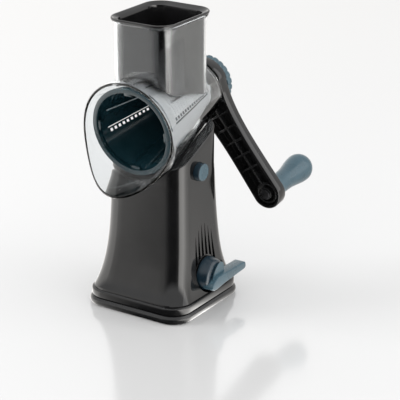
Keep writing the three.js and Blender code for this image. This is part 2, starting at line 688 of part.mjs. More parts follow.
function housing() {
  const s = HOPPER_SHIFT;
  const lipStart = HOPPER_TOP - HOPPER_LIP;
  const hopper = stack([
    [MOUTH.z + 12, HOPPER_HALF_X, HOPPER_HALF_Y, HOPPER_CORNER, s],
    [lipStart - 1.2, HOPPER_HALF_X, HOPPER_HALF_Y, HOPPER_CORNER, s],
    [lipStart, HOPPER_HALF_X + 1, HOPPER_HALF_Y + 2.4, HOPPER_CORNER + 1, s],
    [HOPPER_TOP, HOPPER_HALF_X + 1.2, HOPPER_HALF_Y + 3, HOPPER_CORNER + 1, s],
  ]);
  const well = stack([
    [MOUTH.z + 8, HOPPER_INNER_X, HOPPER_INNER_Y, HOPPER_CORNER - HOPPER_WALL, s],
    [HOPPER_TOP + 1, HOPPER_INNER_X, HOPPER_INNER_Y, HOPPER_CORNER - HOPPER_WALL, s],
  ]);
  const room = toWorld(cone(-BARREL_WALL / 2, -HOOD_TOP, BARREL_LENGTH - REAR_WALL / 2));
  const outside = cut(join(hopper, tongue()), room);
  return cut(join(barrelWall(), outside), well, tongueNotch());
}

// The tongue stands down through the saddle into the latch.
function tongue() {
  const bottom = SLIDE_LOW - 0.6 - TONGUE_LEDGE;
  const wall = 3;
  const body = block(
    vec(-TONGUE_HALF_X, atButtonY(-TONGUE_HALF_Y), bottom),
    vec(TONGUE_HALF_X, atButtonY(TONGUE_HALF_Y), barrelUnderside(BUTTON_Y) + 12),
  );
  const hollow = block(
    vec(-TONGUE_HALF_X + NOTCH_DEPTH + wall, atButtonY(wall - TONGUE_HALF_Y), bottom - 1),
    vec(TONGUE_HALF_X - wall, atButtonY(TONGUE_HALF_Y - wall), bottom + 10),
  );
  return cut(body, hollow);
}

function tongueNotch() {
  const halfY = CATCH_WIDTH / 2 + 1;
  return block(
    vec(-TONGUE_HALF_X - 1, atButtonY(-halfY), SLIDE_LOW - 0.6),
    vec(-TONGUE_HALF_X + NOTCH_DEPTH, atButtonY(halfY), SLIDE_HIGH + 0.9),
  );
}

const rearBush = () => turned([
  [SPINDLE_RADIUS + 0.4, BARREL_LENGTH - REAR_WALL - 1], [BUSH_HOLE, BARREL_LENGTH - REAR_WALL - 1],
  [BUSH_HOLE, BARREL_LENGTH + GAP], [BUSH_HOLE + 4, BARREL_LENGTH + GAP], [BUSH_HOLE + 4, CRANK_START - 1],
  [SPINDLE_RADIUS + 0.4, CRANK_START - 1], [SPINDLE_RADIUS + 0.4, BARREL_LENGTH - REAR_WALL - 1],
], MIDDLE_ROUND);

piece('housing', housing(), clear);
piece('rear_bush', rearBush(), dark, tilted);

// ---------------------------------------------------------------- pusher
function pusher() {
  const halfX = HOPPER_INNER_X - PUSHER_PLAY;
  const halfY = HOPPER_INNER_Y - PUSHER_PLAY;
  const corner = HOPPER_CORNER - HOPPER_WALL - PUSHER_PLAY;
  const rimX = HOPPER_HALF_X + PUSHER_OVERHANG_X;
  const rimY = HOPPER_HALF_Y + PUSHER_OVERHANG_Y;
  const rimCorner = HOPPER_CORNER + 1.5;
  const s = HOPPER_SHIFT;
  const low = MOUTH.z + 20;
  const w = PUSHER_WALL;
  const under = HOPPER_TOP + GAP;
  const top = under + PUSHER_RIM;
  const body = stack([
    [low, halfX, halfY, corner, s],
    [under, halfX, halfY, corner, s],
    [under + 0.01, rimX - 0.6, rimY - 0.6, rimCorner, s],
    [under + 1, rimX, rimY, rimCorner, s],
    [top - 0.6, rimX, rimY, rimCorner, s],
    [top, rimX - 0.8, rimY - 0.8, rimCorner - 0.8, s],
  ]);
  const hollow = stack([
    [low - 1, halfX - w, halfY - w, corner - w, s],
    [top - 5, halfX - w, halfY - w, corner - w, s],
    [top - 1, halfX - w + 2, halfY - w + 3, corner - w + 2, s],
    [top + 1, halfX - w + 2.4, halfY - w + 3.6, corner - w + 2.4, s],
  ]);
  const face = toWorld(cone(-BARREL_WALL, -60, BARREL_LENGTH + 40));
  const floor = toWorld(cone(-BARREL_WALL + w, -60, BARREL_LENGTH + 40));
  return cut(body, cut(hollow, floor), face);
}

piece('pusher', pusher(), gloss);

// ---------------------------------------------------------------- drum, in the tilted frame
const FRAME_START = RING_DEPTH + GAP;
const DRUM_HUB = 11;
const DRUM_HUB_BORE = SPINDLE_RADIUS + GAP;
const HUB_DEPTH_INSIDE = 14;
const WINDOW_START = FRAME_START + 9;
const WINDOW_END = DRUM_LENGTH - 9;
const WINDOW_ANGLE = THREE.MathUtils.degToRad(64);
const FIRST_WINDOW = Math.PI / 4;

function drumRing() {
  const inner = drumRadius(0) - 5;
  const ring = turned([
    [inner, -1], [drumRadius(0) - 0.4, -1], [drumRadius(0), 0], [drumRadius(RING_DEPTH), RING_DEPTH],
    [inner, RING_DEPTH], [inner, -1],
  ]);
  const tabs = everyTurn(WINDOWS, (angle) => block(vec(inner - 3.4, -5, 0.5), vec(inner + 1, 5, 3))
    .add(block(vec(inner - 3.4, 3, 0.5), vec(inner + 1, 5, RING_DEPTH)))
    .rotate([0, 0, THREE.MathUtils.radToDeg(angle)]));
  return join(ring, ...tabs);
}

// A wedge from the axis, `spread` wide, between two distances from the mouth.
function wedge(middle, spread, s0, s1) {
  const reach = 90;
  const corners = [-0.5, -0.17, 0.17, 0.5].map((part) => middle + part * spread);
  const outline = polygon([[0, 0], ...corners.map((a) => [reach * Math.cos(a), reach * Math.sin(a)])]);
  return pulled(outline, s0, s1);
}

function drumFrame() {
  const start = FRAME_START;
  const shell = turned([
    [drumRadius(start) - DRUM_WALL, start], [drumRadius(start), start],
    [drumRadius(DRUM_LENGTH), DRUM_LENGTH], [DRUM_HUB_BORE, DRUM_LENGTH],
    [DRUM_HUB_BORE, DRUM_LENGTH - HUB_DEPTH_INSIDE],
    [DRUM_HUB, DRUM_LENGTH - HUB_DEPTH_INSIDE], [DRUM_HUB, DRUM_LENGTH - 3],
    [drumRadius(DRUM_LENGTH - 3) - DRUM_WALL, DRUM_LENGTH - 3], [drumRadius(start) - DRUM_WALL, start],
  ]);
  const windows = everyTurn(WINDOWS, (angle) =>
    wedge(angle + FIRST_WINDOW, WINDOW_ANGLE, WINDOW_START, WINDOW_END));
  return cut(shell, ...windows);
}

function gratingPlate(middle) {
  const s0 = WINDOW_START + GAP;
  const s1 = WINDOW_END - GAP;
  const outer = (s) => drumRadius(s) - (DRUM_WALL - PLATE_THICKNESS) / 2;
  const skin = turned([
    [outer(s0) - PLATE_THICKNESS, s0], [outer(s0), s0], [outer(s1), s1], [outer(s1) - PLATE_THICKNESS, s1],
    [outer(s0) - PLATE_THICKNESS, s0],
  ], MIDDLE_ROUND);
  const spread = WINDOW_ANGLE - 3.2 * GAP / drumRadius(s1);
  const sheet = skin.intersect(wedge(middle, spread, 0, DRUM_LENGTH));
  const pitch = (s1 - s0) / (TEETH + 0.4);
  const slots = Array.from({ length: TEETH }, (_, i) => {
    const s = s0 + (i + 0.7) * pitch;
    return wedge(middle, WINDOW_ANGLE * 0.6, s - pitch * 0.22, s + pitch * 0.22);
  });
  return cut(sheet, ...slots);
}

function driveSpindle() {
  const square = SQUARE_DRIVE / 2;
  const start = DRUM_LENGTH - HUB_DEPTH_INSIDE;
  const shoulder = CRANK_START - GAP;
  const squareEnd = CRANK_START + CRANK_THICKNESS - 1;
  const journal = rod(SPINDLE_RADIUS, start, shoulder, MIDDLE_ROUND);
  const drive = block(vec(-square, -square, shoulder - 1), vec(square, square, squareEnd))
    .rotate([0, 0, THREE.MathUtils.radToDeg(CRANK_ANGLE)]);
  return join(journal, drive, rod(THREAD_RADIUS, squareEnd - 1, CRANK_START + CRANK_THICKNESS + 6));
}

piece('drum_ring', drumRing(), accent, tilted);
piece('drum_frame', drumFrame(), drumTeal, tilted);
everyTurn(WINDOWS, (angle, i) =>
  piece(`grating_plate_${i + 1}`, gratingPlate(angle + FIRST_WINDOW), drumTeal, tilted));
piece('drive_spindle', driveSpindle(), steel, tilted);

// ---------------------------------------------------------------- crank, in the tilted frame
const CRANK_END = CRANK_START + CRANK_THICKNESS;
const ARM_WALL = 2.6;
const ARM_THROAT = 11.5; // pulls the outline in beside the hub
const ARM_SHANK = 14.8; // and holds it along the lower half

// The arm's outline, `inset` inside its edge, pointing along local +X.
function armOutline(inset) {
  const hub = CRANK_HUB_RADIUS - inset;
  const end = CRANK_END_RADIUS - inset;
  const lean = Math.acos((hub - end) / CRANK_THROW);
  const shape = new THREE.Shape();
  const throat = ARM_THROAT - inset;
  const shank = ARM_SHANK - inset;
  const near = CRANK_THROW * 0.27;
  const far = CRANK_THROW * 0.6;
  const tip = CRANK_THROW + end * Math.cos(lean);
  shape.absarc(0, 0, hub, lean, 2 * Math.PI - lean);
  shape.bezierCurveTo(near, -throat, far, -shank, tip, -end * Math.sin(lean));
  shape.absarc(CRANK_THROW, 0, end, -lean, lean);
  shape.bezierCurveTo(far, shank, near, throat, hub * Math.cos(lean), hub * Math.sin(lean));
  return shape;
}

function crankArm() {
  const pocketTop = CRANK_END - CRANK_FACE;
  const solidArm = pulled(armOutline(0), CRANK_START, CRANK_END);
  const pocket = pulled(armOutline(ARM_WALL), CRANK_START - 1, pocketTop);
  const ribTop = CRANK_START + 2.2;
  const long = block(vec(0, -RIB / 2, ribTop), vec(CRANK_THROW, RIB / 2, CRANK_END - 1));
  const cross = [0.28, 0.4, 0.52, 0.64, 0.76].map((share) => block(
    vec(share * CRANK_THROW - RIB / 2, -CRANK_HUB_RADIUS, ribTop),
    vec(share * CRANK_THROW + RIB / 2, CRANK_HUB_RADIUS, CRANK_END - 1),
  ));
  const inside = CRANK_END - 1; // ribs and bosses end within the outer plate
  const hubBoss = rod(SQUARE_DRIVE + 1.6, CRANK_START, inside, MIDDLE_ROUND);
  const hubRing = tube(SQUARE_DRIVE + 8, SQUARE_DRIVE + 8 + RIB, ribTop, inside, MIDDLE_ROUND);
  const pinBoss = rod(PIN_RADIUS + 3.2, CRANK_START, inside, 16).translate([CRANK_THROW, 0, 0]);
  const pinRingInner = PIN_RADIUS + 6.6;
  const pinRing = tube(pinRingInner, pinRingInner + RIB, ribTop, inside, 16).translate([CRANK_THROW, 0, 0]);
  const ribs = join(long, ...cross, hubRing, pinRing, hubBoss, pinBoss).intersect(solidArm);
  const square = SQUARE_DRIVE / 2 + GAP;
  const bore = block(vec(-square, -square, CRANK_START - 1), vec(square, square, CRANK_END + 1));
  const pinBore = rod(PIN_RADIUS + GAP, CRANK_START - 1, CRANK_END + 1).translate([CRANK_THROW, 0, 0]);
  const arm = cut(join(cut(solidArm, pocket), ribs), bore, pinBore);
  return arm.rotate([0, 0, THREE.MathUtils.radToDeg(CRANK_ANGLE)]);
}

const crankTip = vec(CRANK_THROW * Math.cos(CRANK_ANGLE), CRANK_THROW * Math.sin(CRANK_ANGLE), 0);
const atTip = (body) => placed(body, crankTip);

const HANDLE_START = CRANK_END + GAP;
const HANDLE_END = HANDLE_START + HANDLE_LENGTH;
const CAP_RADIUS = 7.4;
const CAP_DEPTH = 3;

const CAP_ANGLE = Math.acos((CAP_RADIUS + 0.8) / HANDLE_BALL); // where the ball stops at the cap
const BALL_MIDDLE = HANDLE_END - HANDLE_BALL * 0.92;
const HANDLE_RIM = BALL_MIDDLE + HANDLE_BALL * Math.sin(CAP_ANGLE);
const HEAD_DEPTH = 4; // room for the pin's head under the cap

function handleGrip() {
  const neckEnd = HANDLE_START + 8;
  const collar = HANDLE_NECK + 1;
  const outline = [[collar, HANDLE_START], [collar, HANDLE_START + 2], [HANDLE_NECK, neckEnd]];
  const steps = 4;
  for (let i = 1; i < steps; i += 1) {
    const share = i / steps;
    const ease = (1 - Math.cos(Math.PI * share)) / 2;
    const radius = THREE.MathUtils.lerp(HANDLE_NECK, HANDLE_BALL, ease);
    outline.push([radius, THREE.MathUtils.lerp(neckEnd, BALL_MIDDLE - 2, share)]);
  }
  for (let i = 0; i <= steps; i += 1) {
    const angle = CAP_ANGLE * i / steps;
    outline.push([HANDLE_BALL * Math.cos(angle), BALL_MIDDLE + HANDLE_BALL * Math.sin(angle)]);
  }
  const bore = PIN_RADIUS + GAP;
  const seat = HANDLE_RIM - CAP_DEPTH - HEAD_DEPTH;
  return turned([
    [bore, HANDLE_START], ...outline,
    [CAP_RADIUS, HANDLE_RIM], [CAP_RADIUS, seat], [bore, seat], [bore, HANDLE_START],
  ], MIDDLE_ROUND);
}

function handleCap() {
  const radius = CAP_RADIUS - GAP;
  const under = HANDLE_RIM - CAP_DEPTH;
  return turned([
    [0, under], [radius, under], [radius, HANDLE_RIM], [radius * 0.7, HANDLE_RIM + 1.3],
    [radius * 0.35, HANDLE_RIM + 1.9], [0, HANDLE_RIM + 2.1],
  ], MIDDLE_ROUND);
}

// A shouldered pin, riveted on both sides of the arm and headed inside the handle.
function handlePin() {
  const rivet = CRANK_START - GAP;
  const head = HANDLE_RIM - CAP_DEPTH - HEAD_DEPTH + GAP;
  return turned([
    [0, rivet - 1.3], [PIN_RADIUS + 2, rivet - 1.3], [PIN_RADIUS + 2, rivet], [PIN_RADIUS, rivet],
    [PIN_RADIUS, head], [PIN_RADIUS + 2.6, head], [PIN_RADIUS + 2.6, head + 2], [0, head + 2],
  ]);
}

piece('crank_arm', crankArm(), gloss, tilted);
piece('handle_grip', atTip(handleGrip()), accent, tilted);
piece('handle_cap', atTip(handleCap()), accent, tilted);
piece('handle_pin', atTip(handlePin()), steel, tilted);

// ---------------------------------------------------------------- clamping knob
const INSERT_RADIUS = THREAD_RADIUS + 2.6;
const KNOB_ROOF = 1.4; // over the insert

function clampKnob() {
  const start = CRANK_END + GAP;
  const end = start + KNOB_THICKNESS;
  const disc = turned([
    [0, start], [KNOB_RADIUS - 0.8, start], [KNOB_RADIUS, start + 0.8], [KNOB_RADIUS, end - 2],
    [KNOB_RADIUS - 2, end], [0, end],
  ]);
  const reach = KNOB_RADIUS + 1;
  const scallops = everyTurn(KNOB_SCALLOPS, (angle) => rod(2, start - 1, end + 1, 6)
    .translate([reach * Math.cos(angle), reach * Math.sin(angle), 0]));
  const pocket = rod(INSERT_RADIUS + GAP, start - 1, end - KNOB_ROOF, MIDDLE_ROUND);
  return cut(disc, ...scallops, pocket);
}

function knobInsert() {
  const start = CRANK_END + GAP;
  const end = start + KNOB_THICKNESS - KNOB_ROOF - GAP;
  return tube(THREAD_RADIUS + GAP, INSERT_RADIUS, start, end, MIDDLE_ROUND);
}

piece('clamp_knob', clampKnob(), accent, tilted);
piece('knob_insert', knobInsert(), brass, tilted);

part.add(tilted);
export default part;
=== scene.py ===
"""Looks for a hand-cranked rotary cheese grater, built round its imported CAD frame.

Sizes here are millimetres in the frame's own axes; mesh points become metres in one place, in solid().
Noise scales and bump distances are in metres. The barrel, drum and crank share a tilted frame: local x is
the part's +X, y points down and z runs back along the axis.
"""

import json
import math

import bmesh
import bpy
import numpy as np
from mathutils import Matrix, Vector


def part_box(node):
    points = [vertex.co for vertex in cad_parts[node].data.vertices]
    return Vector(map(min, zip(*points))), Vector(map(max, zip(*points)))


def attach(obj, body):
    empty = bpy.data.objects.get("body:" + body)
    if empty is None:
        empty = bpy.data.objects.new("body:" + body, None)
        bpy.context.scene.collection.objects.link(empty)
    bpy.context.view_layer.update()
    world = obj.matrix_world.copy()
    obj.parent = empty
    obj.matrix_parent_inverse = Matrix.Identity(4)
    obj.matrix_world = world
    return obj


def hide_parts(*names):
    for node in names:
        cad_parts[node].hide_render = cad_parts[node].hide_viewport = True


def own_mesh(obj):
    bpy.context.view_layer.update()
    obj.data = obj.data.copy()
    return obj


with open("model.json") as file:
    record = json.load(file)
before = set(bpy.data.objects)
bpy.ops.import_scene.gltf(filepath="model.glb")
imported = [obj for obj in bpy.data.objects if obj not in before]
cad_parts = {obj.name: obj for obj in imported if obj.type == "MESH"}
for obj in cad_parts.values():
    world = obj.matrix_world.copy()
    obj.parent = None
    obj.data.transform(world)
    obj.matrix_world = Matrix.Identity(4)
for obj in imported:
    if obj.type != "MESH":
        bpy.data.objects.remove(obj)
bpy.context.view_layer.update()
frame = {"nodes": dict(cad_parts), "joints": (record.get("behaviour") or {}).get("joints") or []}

MM = 0.001
nodes = frame["nodes"]
joints = {j["name"]: j for j in frame["joints"]}
TURN = 2 * math.pi

# ---- the frame's places and sizes


def span(node):
    """A node's lowest and highest corners, in mm."""
    low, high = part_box(node)
    return low / MM, high / MM


spin = joints["crank_spin"]
AXIS = Vector(spin["axis"]).normalized()
MOUTH = Vector(spin["pos_m"]) / MM
DOWN = AXIS.cross(Vector((1, 0, 0)))
TILTED = Matrix.Translation(MOUTH) @ Matrix(((1, 0, 0), DOWN, AXIS)).transposed().to_4x4()


def tilted_points(node):
    """A node's vertices in the tilted frame, in mm."""
    inverse = TILTED.inverted()
    return np.array([inverse @ (v.co / MM) for v in nodes[node].data.vertices])


def along(node):
    """Where a node starts and ends along the drum's axis."""
    z = tilted_points(node)[:, 2]
    return z.min(), z.max()


def widest(node, centre=(0, 0)):
    """The largest radius of a node about an axis parallel to the drum's."""
    p = tilted_points(node)
    return np.hypot(p[:, 0] - centre[0], p[:, 1] - centre[1]).max()


handle_points = tilted_points("handle_grip")
handle_centre = ((handle_points[:, 0].min() + handle_points[:, 0].max()) / 2,
                 (handle_points[:, 1].min() + handle_points[:, 1].max()) / 2)
CRANK_START, CRANK_END = along("crank_arm")
CRANK_THROW = math.hypot(*handle_centre)
CRANK_TURN = math.atan2(handle_centre[1], handle_centre[0])
CRANKED = TILTED @ Matrix.Rotation(CRANK_TURN, 4, "Z")
AT_TIP = TILTED @ Matrix.Translation((handle_centre[0], handle_centre[1], 0))

# ---- mesh helpers


def solid(name, points, faces, place=None, sharp=32):
    """A mesh object from points in mm, smooth but for edges sharper than `sharp` degrees."""
    mesh = bpy.data.meshes.new(name)
    mesh.from_pydata([tuple(p) for p in points], [], faces)
    if place is not None:
        mesh.transform(place)
    mesh.transform(Matrix.Scale(MM, 4))
    obj = bpy.data.objects.new(name, mesh)
    bpy.context.scene.collection.objects.link(obj)
    clean(obj, sharp)
    return obj


def smoothed(obj, sharp):
    """obj, smooth but for edges sharper than `sharp` degrees."""
    obj.data.shade_smooth()
    obj.data.set_sharp_from_angle(angle=math.radians(sharp))
    return obj


def clean(obj, sharp):
    """Welds the mesh, turns its faces outwards and sets its smooth and sharp edges."""
    work = bmesh.new()
    work.from_mesh(obj.data)
    bmesh.ops.remove_doubles(work, verts=work.verts, dist=1e-6)
    bmesh.ops.dissolve_degenerate(work, edges=work.edges, dist=1e-7)
    bmesh.ops.recalc_face_normals(work, faces=work.faces)
    work.to_mesh(obj.data)
    work.free()
    smoothed(obj, sharp)


def skin(name, rings, place=None, sharp=32, loop=False, open_ends=False):
    """A surface through rings of equal count. A loop joins its last ring to its first."""
    count = len(rings[0])
    points = [p for ring in rings for p in ring]
    faces = []
    for r in range(len(rings) - (0 if loop else 1)):
        low = r * count
        high = (r + 1) % len(rings) * count
        for i in range(count):
            j = (i + 1) % count
            faces.append((low + i, low + j, high + j, high + i))
    if not loop and not open_ends:
        faces.append(tuple(range(count)))
        faces.append(tuple(range(len(points) - count, len(points))))
    return solid(name, points, faces, place, sharp)


def circle(radius, z, count):
    angles = [TURN * i / count for i in range(count)]
    return [(radius * math.cos(a), radius * math.sin(a), z) for a in angles]


def rounded(path, radius, steps=4, closed=False):
    """A 2D path with its corners rounded off; the ends of an open path stay."""
    out = []
    count = len(path)
    most = 0.45  # of a side's length, so that its two corners don't meet
    for i, point in enumerate(path):
        if not closed and i in (0, count - 1):
            out.append(point)
            continue
        p = Vector(point)
        before = Vector(path[i - 1])
        after = Vector(path[(i + 1) % count])
        r = min(radius, (before - p).length * most, (after - p).length * most)
        start = p + (before - p).normalized() * r
        end = p + (after - p).normalized() * r
        for k in range(steps + 1):
            t = k / steps
            q = start * (1 - t) ** 2 + p * 2 * t * (1 - t) + end * t ** 2
            out.append((q.x, q.y))
    return out


def turned(name, profile, place=None, count=96, sharp=32, loop=False, soften=0.4):
    """A solid of revolution from (radius, z) pairs, its corners softened."""
    path = rounded(profile, soften, closed=loop)
    on_axis = 1e-4  # never quite 0, so that a ring's points stay apart
    rings = [circle(max(r, on_axis), z, count) for r, z in path]
    return skin(name, rings, place, sharp, loop)


def rod(name, radius, start, end, place, soften=0.4):
    return turned(name, [(0, start), (radius, start), (radius, end), (0, end)], place, soften=soften)


def tube(name, inner, outer, start, end, place, count=96, soften=0.4):
    profile = [(inner, start), (outer, start), (outer, end), (inner, end)]
    return turned(name, profile, place, count, loop=True, soften=soften)


def inset_outline(outline, distance):
    """The outline moved inwards along its corners' bisectors."""
    bluntest = 0.5  # keeps a sharp corner from moving further than twice the distance
    count = len(outline)
    out = []
    for i in range(count):
        p = Vector(outline[i])
        a = (p - Vector(outline[i - 1])).normalized()
        b = (Vector(outline[(i + 1) % count]) - p).normalized()
        normal = Vector((-a.y - b.y, a.x + b.x))
        if normal.length < 1e-6:
            normal = Vector((-a.y, a.x))
        normal.normalize()
        out.append(tuple(p + normal * distance / max(bluntest, normal.dot(Vector((-a.y, a.x))))))
    return out


def pulled(name, outline, z0, z1, place=None, bevel=0.6, sharp=32, steps=3):
    """An anticlockwise outline pulled from z0 to z1, with rounded edges."""
    rings = []
    for k in range(steps + 1):
        turn = math.pi / 2 * k / steps
        ring = inset_outline(outline, bevel * (1 - math.sin(turn)))
        rings.append([(x, y, z0 + bevel * (1 - math.cos(turn))) for x, y in ring])
    for k in range(steps + 1):
        turn = math.pi / 2 * k / steps
        ring = inset_outline(outline, bevel * (1 - math.cos(turn)))
        rings.append([(x, y, z1 - bevel * (1 - math.sin(turn))) for x, y in ring])
    return skin(name, rings, place, sharp)


def rectangle(x0, x1, y0, y1):
    return [(x0, y0), (x1, y0), (x1, y1), (x0, y1)]


def block(name, low, high, bevel=0.3):
    """A box with rounded edges, from its lowest to its highest corner."""
    outline = rounded(rectangle(low[0], high[0], low[1], high[1]), bevel, 3, closed=True)
    return pulled(name, outline, low[2], high[2], bevel=bevel)


def combine(obj, other, operation, sharp=32):
    """Cuts or joins obj with other, which is used up."""
    applied(obj, "BOOLEAN", operation=operation, solver="EXACT", object=other)
    bpy.data.objects.remove(other)
    clean(obj, sharp)
    return obj


def merged(name, parts):
    """One object from several that don't have to touch, sharp past 40 degrees."""
    work = bmesh.new()
    for part in parts:
        work.from_mesh(part.data)
        bpy.data.objects.remove(part)
    mesh = bpy.data.meshes.new(name)
    work.to_mesh(mesh)
    work.free()
    obj = bpy.data.objects.new(name, mesh)
    bpy.context.scene.collection.objects.link(obj)
    return smoothed(obj, 40)


def applied(obj, kind, **settings):
    """obj with one modifier applied to its mesh."""
    modifier = obj.modifiers.new(kind.lower(), kind)
    for key, value in settings.items():
        setattr(modifier, key, value)
    bpy.context.view_layer.update()
    mesh = bpy.data.meshes.new_from_object(obj.evaluated_get(bpy.context.evaluated_depsgraph_get()))
    obj.modifiers.clear()
    obj.data = mesh
    return obj


def rounded_ring(half_x, half_y, corner, z, shift=0.0, per_corner=14, per_side=(6, 6, 6, 6)):
    """Points round a rounded rectangle. z is a number, or a function of x and y."""
    points = []
    corners = [(1, 1), (-1, 1), (-1, -1), (1, -1)]
    for quarter, (sx, sy) in enumerate(corners):
        for i in range(per_corner + 1):
            angle = (quarter + i / per_corner) * math.pi / 2
            x = sx * (half_x - corner) + corner * math.cos(angle)
            points.append((x, sy * (half_y - corner) + corner * math.sin(angle) + shift))
        tx, ty = corners[(quarter + 1) % 4]
        end_angle = (quarter + 1) * math.pi / 2
        ex = tx * (half_x - corner) + corner * math.cos(end_angle)
        ey = ty * (half_y - corner) + corner * math.sin(end_angle) + shift
        lx, ly = points[-1]
        for i in range(1, per_side[quarter] + 1):
            share = i / (per_side[quarter] + 1)
            points.append((lx + (ex - lx) * share, ly + (ey - ly) * share))
    height = z if callable(z) else lambda x, y: z
    return [(x, y, height(x, y)) for x, y in points]


def dress(obj, body, material, slot, *replaced):
    """Gives a piece its material and body, and the CAD nodes that it stands for; slot is not used."""
    obj.data.materials.clear()
    obj.data.materials.append(material)
    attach(obj, body)
    if replaced:
        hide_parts(*replaced)
    return obj


# ---- materials


def added(tree, kind, **settings):
    """A new shader node."""
    node = tree.nodes.new("ShaderNode" + kind)
    for key, value in settings.items():
        setattr(node, key, value)
    return node


def shader(name, color, roughness, metallic=0.0, **sockets):
    """A material with one Principled shader; sockets are named with underscores for spaces."""
    material = bpy.data.materials.new(name)
    material.use_nodes = True
    principled = material.node_tree.nodes["Principled BSDF"]
    principled.inputs["Base Color"].default_value = (*color, 1)
    principled.inputs["Roughness"].default_value = roughness
    principled.inputs["Metallic"].default_value = metallic
    for key, value in sockets.items():
        principled.inputs[key.replace("_", " ")].default_value = value
    return material, principled


def noise(material, scale, detail=3.0, stretch=(1, 1, 1)):
    """A noise texture on object coordinates."""
    tree = material.node_tree
    coordinates = added(tree, "TexCoord")
    mapping = added(tree, "Mapping")
    mapping.inputs["Scale"].default_value = stretch
    texture = added(tree, "TexNoise")
    texture.inputs["Scale"].default_value = scale
    texture.inputs["Detail"].default_value = detail
    tree.links.new(coordinates.outputs["Object"], mapping.inputs["Vector"])
    tree.links.new(mapping.outputs["Vector"], texture.inputs["Vector"])
    return texture.outputs["Fac"]


def vary(material, principled, socket, factor, low, high):
    """Drives a shader socket between two values, or two colours, by a 0 to 1 factor."""
    tree = material.node_tree
    ramp = added(tree, "ValToRGB")
    ramp.color_ramp.elements[0].position = 0.3
    ramp.color_ramp.elements[1].position = 0.7
    for element, value in zip(ramp.color_ramp.elements, (low, high)):
        element.color = (*value, 1) if isinstance(value, tuple) else (value, value, value, 1)
    tree.links.new(factor, ramp.inputs["Fac"])
    tree.links.new(ramp.outputs["Color"], principled.inputs[socket])


def grain(material, principled, factor, strength, distance):
    """Bump from a factor; distance is in metres."""
    tree = material.node_tree
    bump = added(tree, "Bump")
    bump.inputs["Strength"].default_value = strength
    bump.inputs["Distance"].default_value = distance
    tree.links.new(factor, bump.inputs["Height"])
    tree.links.new(bump.outputs["Normal"], principled.inputs["Normal"])


SKIN_DEPTH = 0.0002


def moulded(name, dark, light, roughness, coarse=70, bump=0.05, **sockets):
    """Moulded plastic: slow colour and roughness drift, and a fine skin."""
    material, principled = shader(name, light, roughness, **sockets)
    drift = noise(material, coarse)
    vary(material, principled, "Base Color", drift, dark, light)
    vary(material, principled, "Roughness", drift, roughness * 0.8, roughness * 1.25)
    fine = noise(material, 1400, 2)
    grain(material, principled, fine, bump, SKIN_DEPTH)
    return material


def metal(name, color, roughness, stretch, metallic=1.0):
    """Brushed metal; the brushing runs along the axis with the smallest stretch."""
    material, principled = shader(name, color, roughness, metallic)
    lines = noise(material, 220, 4, stretch)
    vary(material, principled, "Roughness", lines, roughness * 0.7, roughness * 1.5)
    darker = tuple(c * 0.86 for c in color)
    vary(material, principled, "Base Color", lines, darker, color)
    grain(material, principled, lines, 0.06, SKIN_DEPTH)
    return material


gloss_black = moulded("gloss_black", (0.0065, 0.0065, 0.0068), (0.009, 0.009, 0.0094), 0.08,
                      bump=0.01, IOR=1.5)
satin_black = moulded("satin_black", (0.009, 0.0092, 0.0098), (0.013, 0.0132, 0.014), 0.24, bump=0.05)
matte_black = moulded("matte_black", (0.018, 0.018, 0.019), (0.03, 0.03, 0.032), 0.5, bump=0.12)
rubber = moulded("rubber", (0.016, 0.016, 0.016), (0.026, 0.026, 0.026), 0.75, bump=0.2)
petrol = moulded("petrol_blue", (0.038, 0.085, 0.112), (0.048, 0.1, 0.13), 0.28, bump=0.04)
# A darker copy of the blue plastic: painted shade, for the lever's hub and spigot and the button's body and
# peg.
petrol_painted_shade = moulded("petrol_painted_shade", (0.006, 0.018, 0.029), (0.009, 0.025, 0.039), 0.28, bump=0.04)
# Dark blue-green for the drum's rear wall; on the inside of the steel drum sheets it is a painted reflection
# of the drum ring and the dark surroundings.
teal_and_painted_reflection = moulded("drum_teal", (0.007, 0.026, 0.034), (0.011, 0.035, 0.045), 0.2, bump=0.03, Coat_Weight=0.4)
teal_rim = moulded("drum_ring_teal", (0.005, 0.02, 0.026), (0.008, 0.027, 0.035), 0.2, bump=0.03,
                   Coat_Weight=0.3)
steel = metal("steel", (0.62, 0.63, 0.64), 0.25, (1, 0.15, 1))
drum_steel = metal("drum_steel", (0.4, 0.41, 0.42), 0.42, (1, 0.1, 1), 0.35)
dark_steel = metal("dark_steel", (0.06, 0.06, 0.065), 0.35, (1, 1, 1))
brass = metal("brass", (0.6, 0.44, 0.18), 0.3, (1, 1, 0.3))


def clear_plastic():
    """Clear moulded plastic, faintly rippled, that lets the lamps through."""
    material, principled = shader("clear", (0.93, 0.95, 0.96), 0.03, IOR=1.47, Transmission_Weight=1.0)
    vary(material, principled, "Roughness", noise(material, 40), 0.0, 0.02)
    grain(material, principled, noise(material, 25, 2), 0.02, 0.0005)
    tree = material.node_tree
    path = added(tree, "LightPath")
    transparent = added(tree, "BsdfTransparent")
    mix = added(tree, "MixShader")
    tree.links.new(path.outputs["Is Shadow Ray"], mix.inputs[0])
    tree.links.new(principled.outputs[0], mix.inputs[1])
    tree.links.new(transparent.outputs[0], mix.inputs[2])
    tree.links.new(mix.outputs[0], tree.nodes["Material Output"].inputs["Surface"])
    return material


clear = clear_plastic()

# ---- stand

WALL = 3.2
WAIST_HALF = (45.0, 37.2)
WAIST_CORNER = 18.0
TOWER_SHIFT = 1.4
SADDLE_START = 135.0  # above this, the tower's rings rise towards the saddle
SADDLE_SECTION = 150.0  # the height whose section those rings keep
SADDLE_PLAY = 0.6
SADDLE_TILT = math.radians(24.8)
SADDLE_RIM = Vector((0, -35, MOUTH.z - 37.9))
BARREL_LENGTH = 115.0
BARREL_RADIUS = 52.0
BARREL_REAR_RADIUS = 29.6
BARREL_WALL = 2.5
TAPER = (BARREL_RADIUS - BARREL_REAR_RADIUS) / BARREL_LENGTH

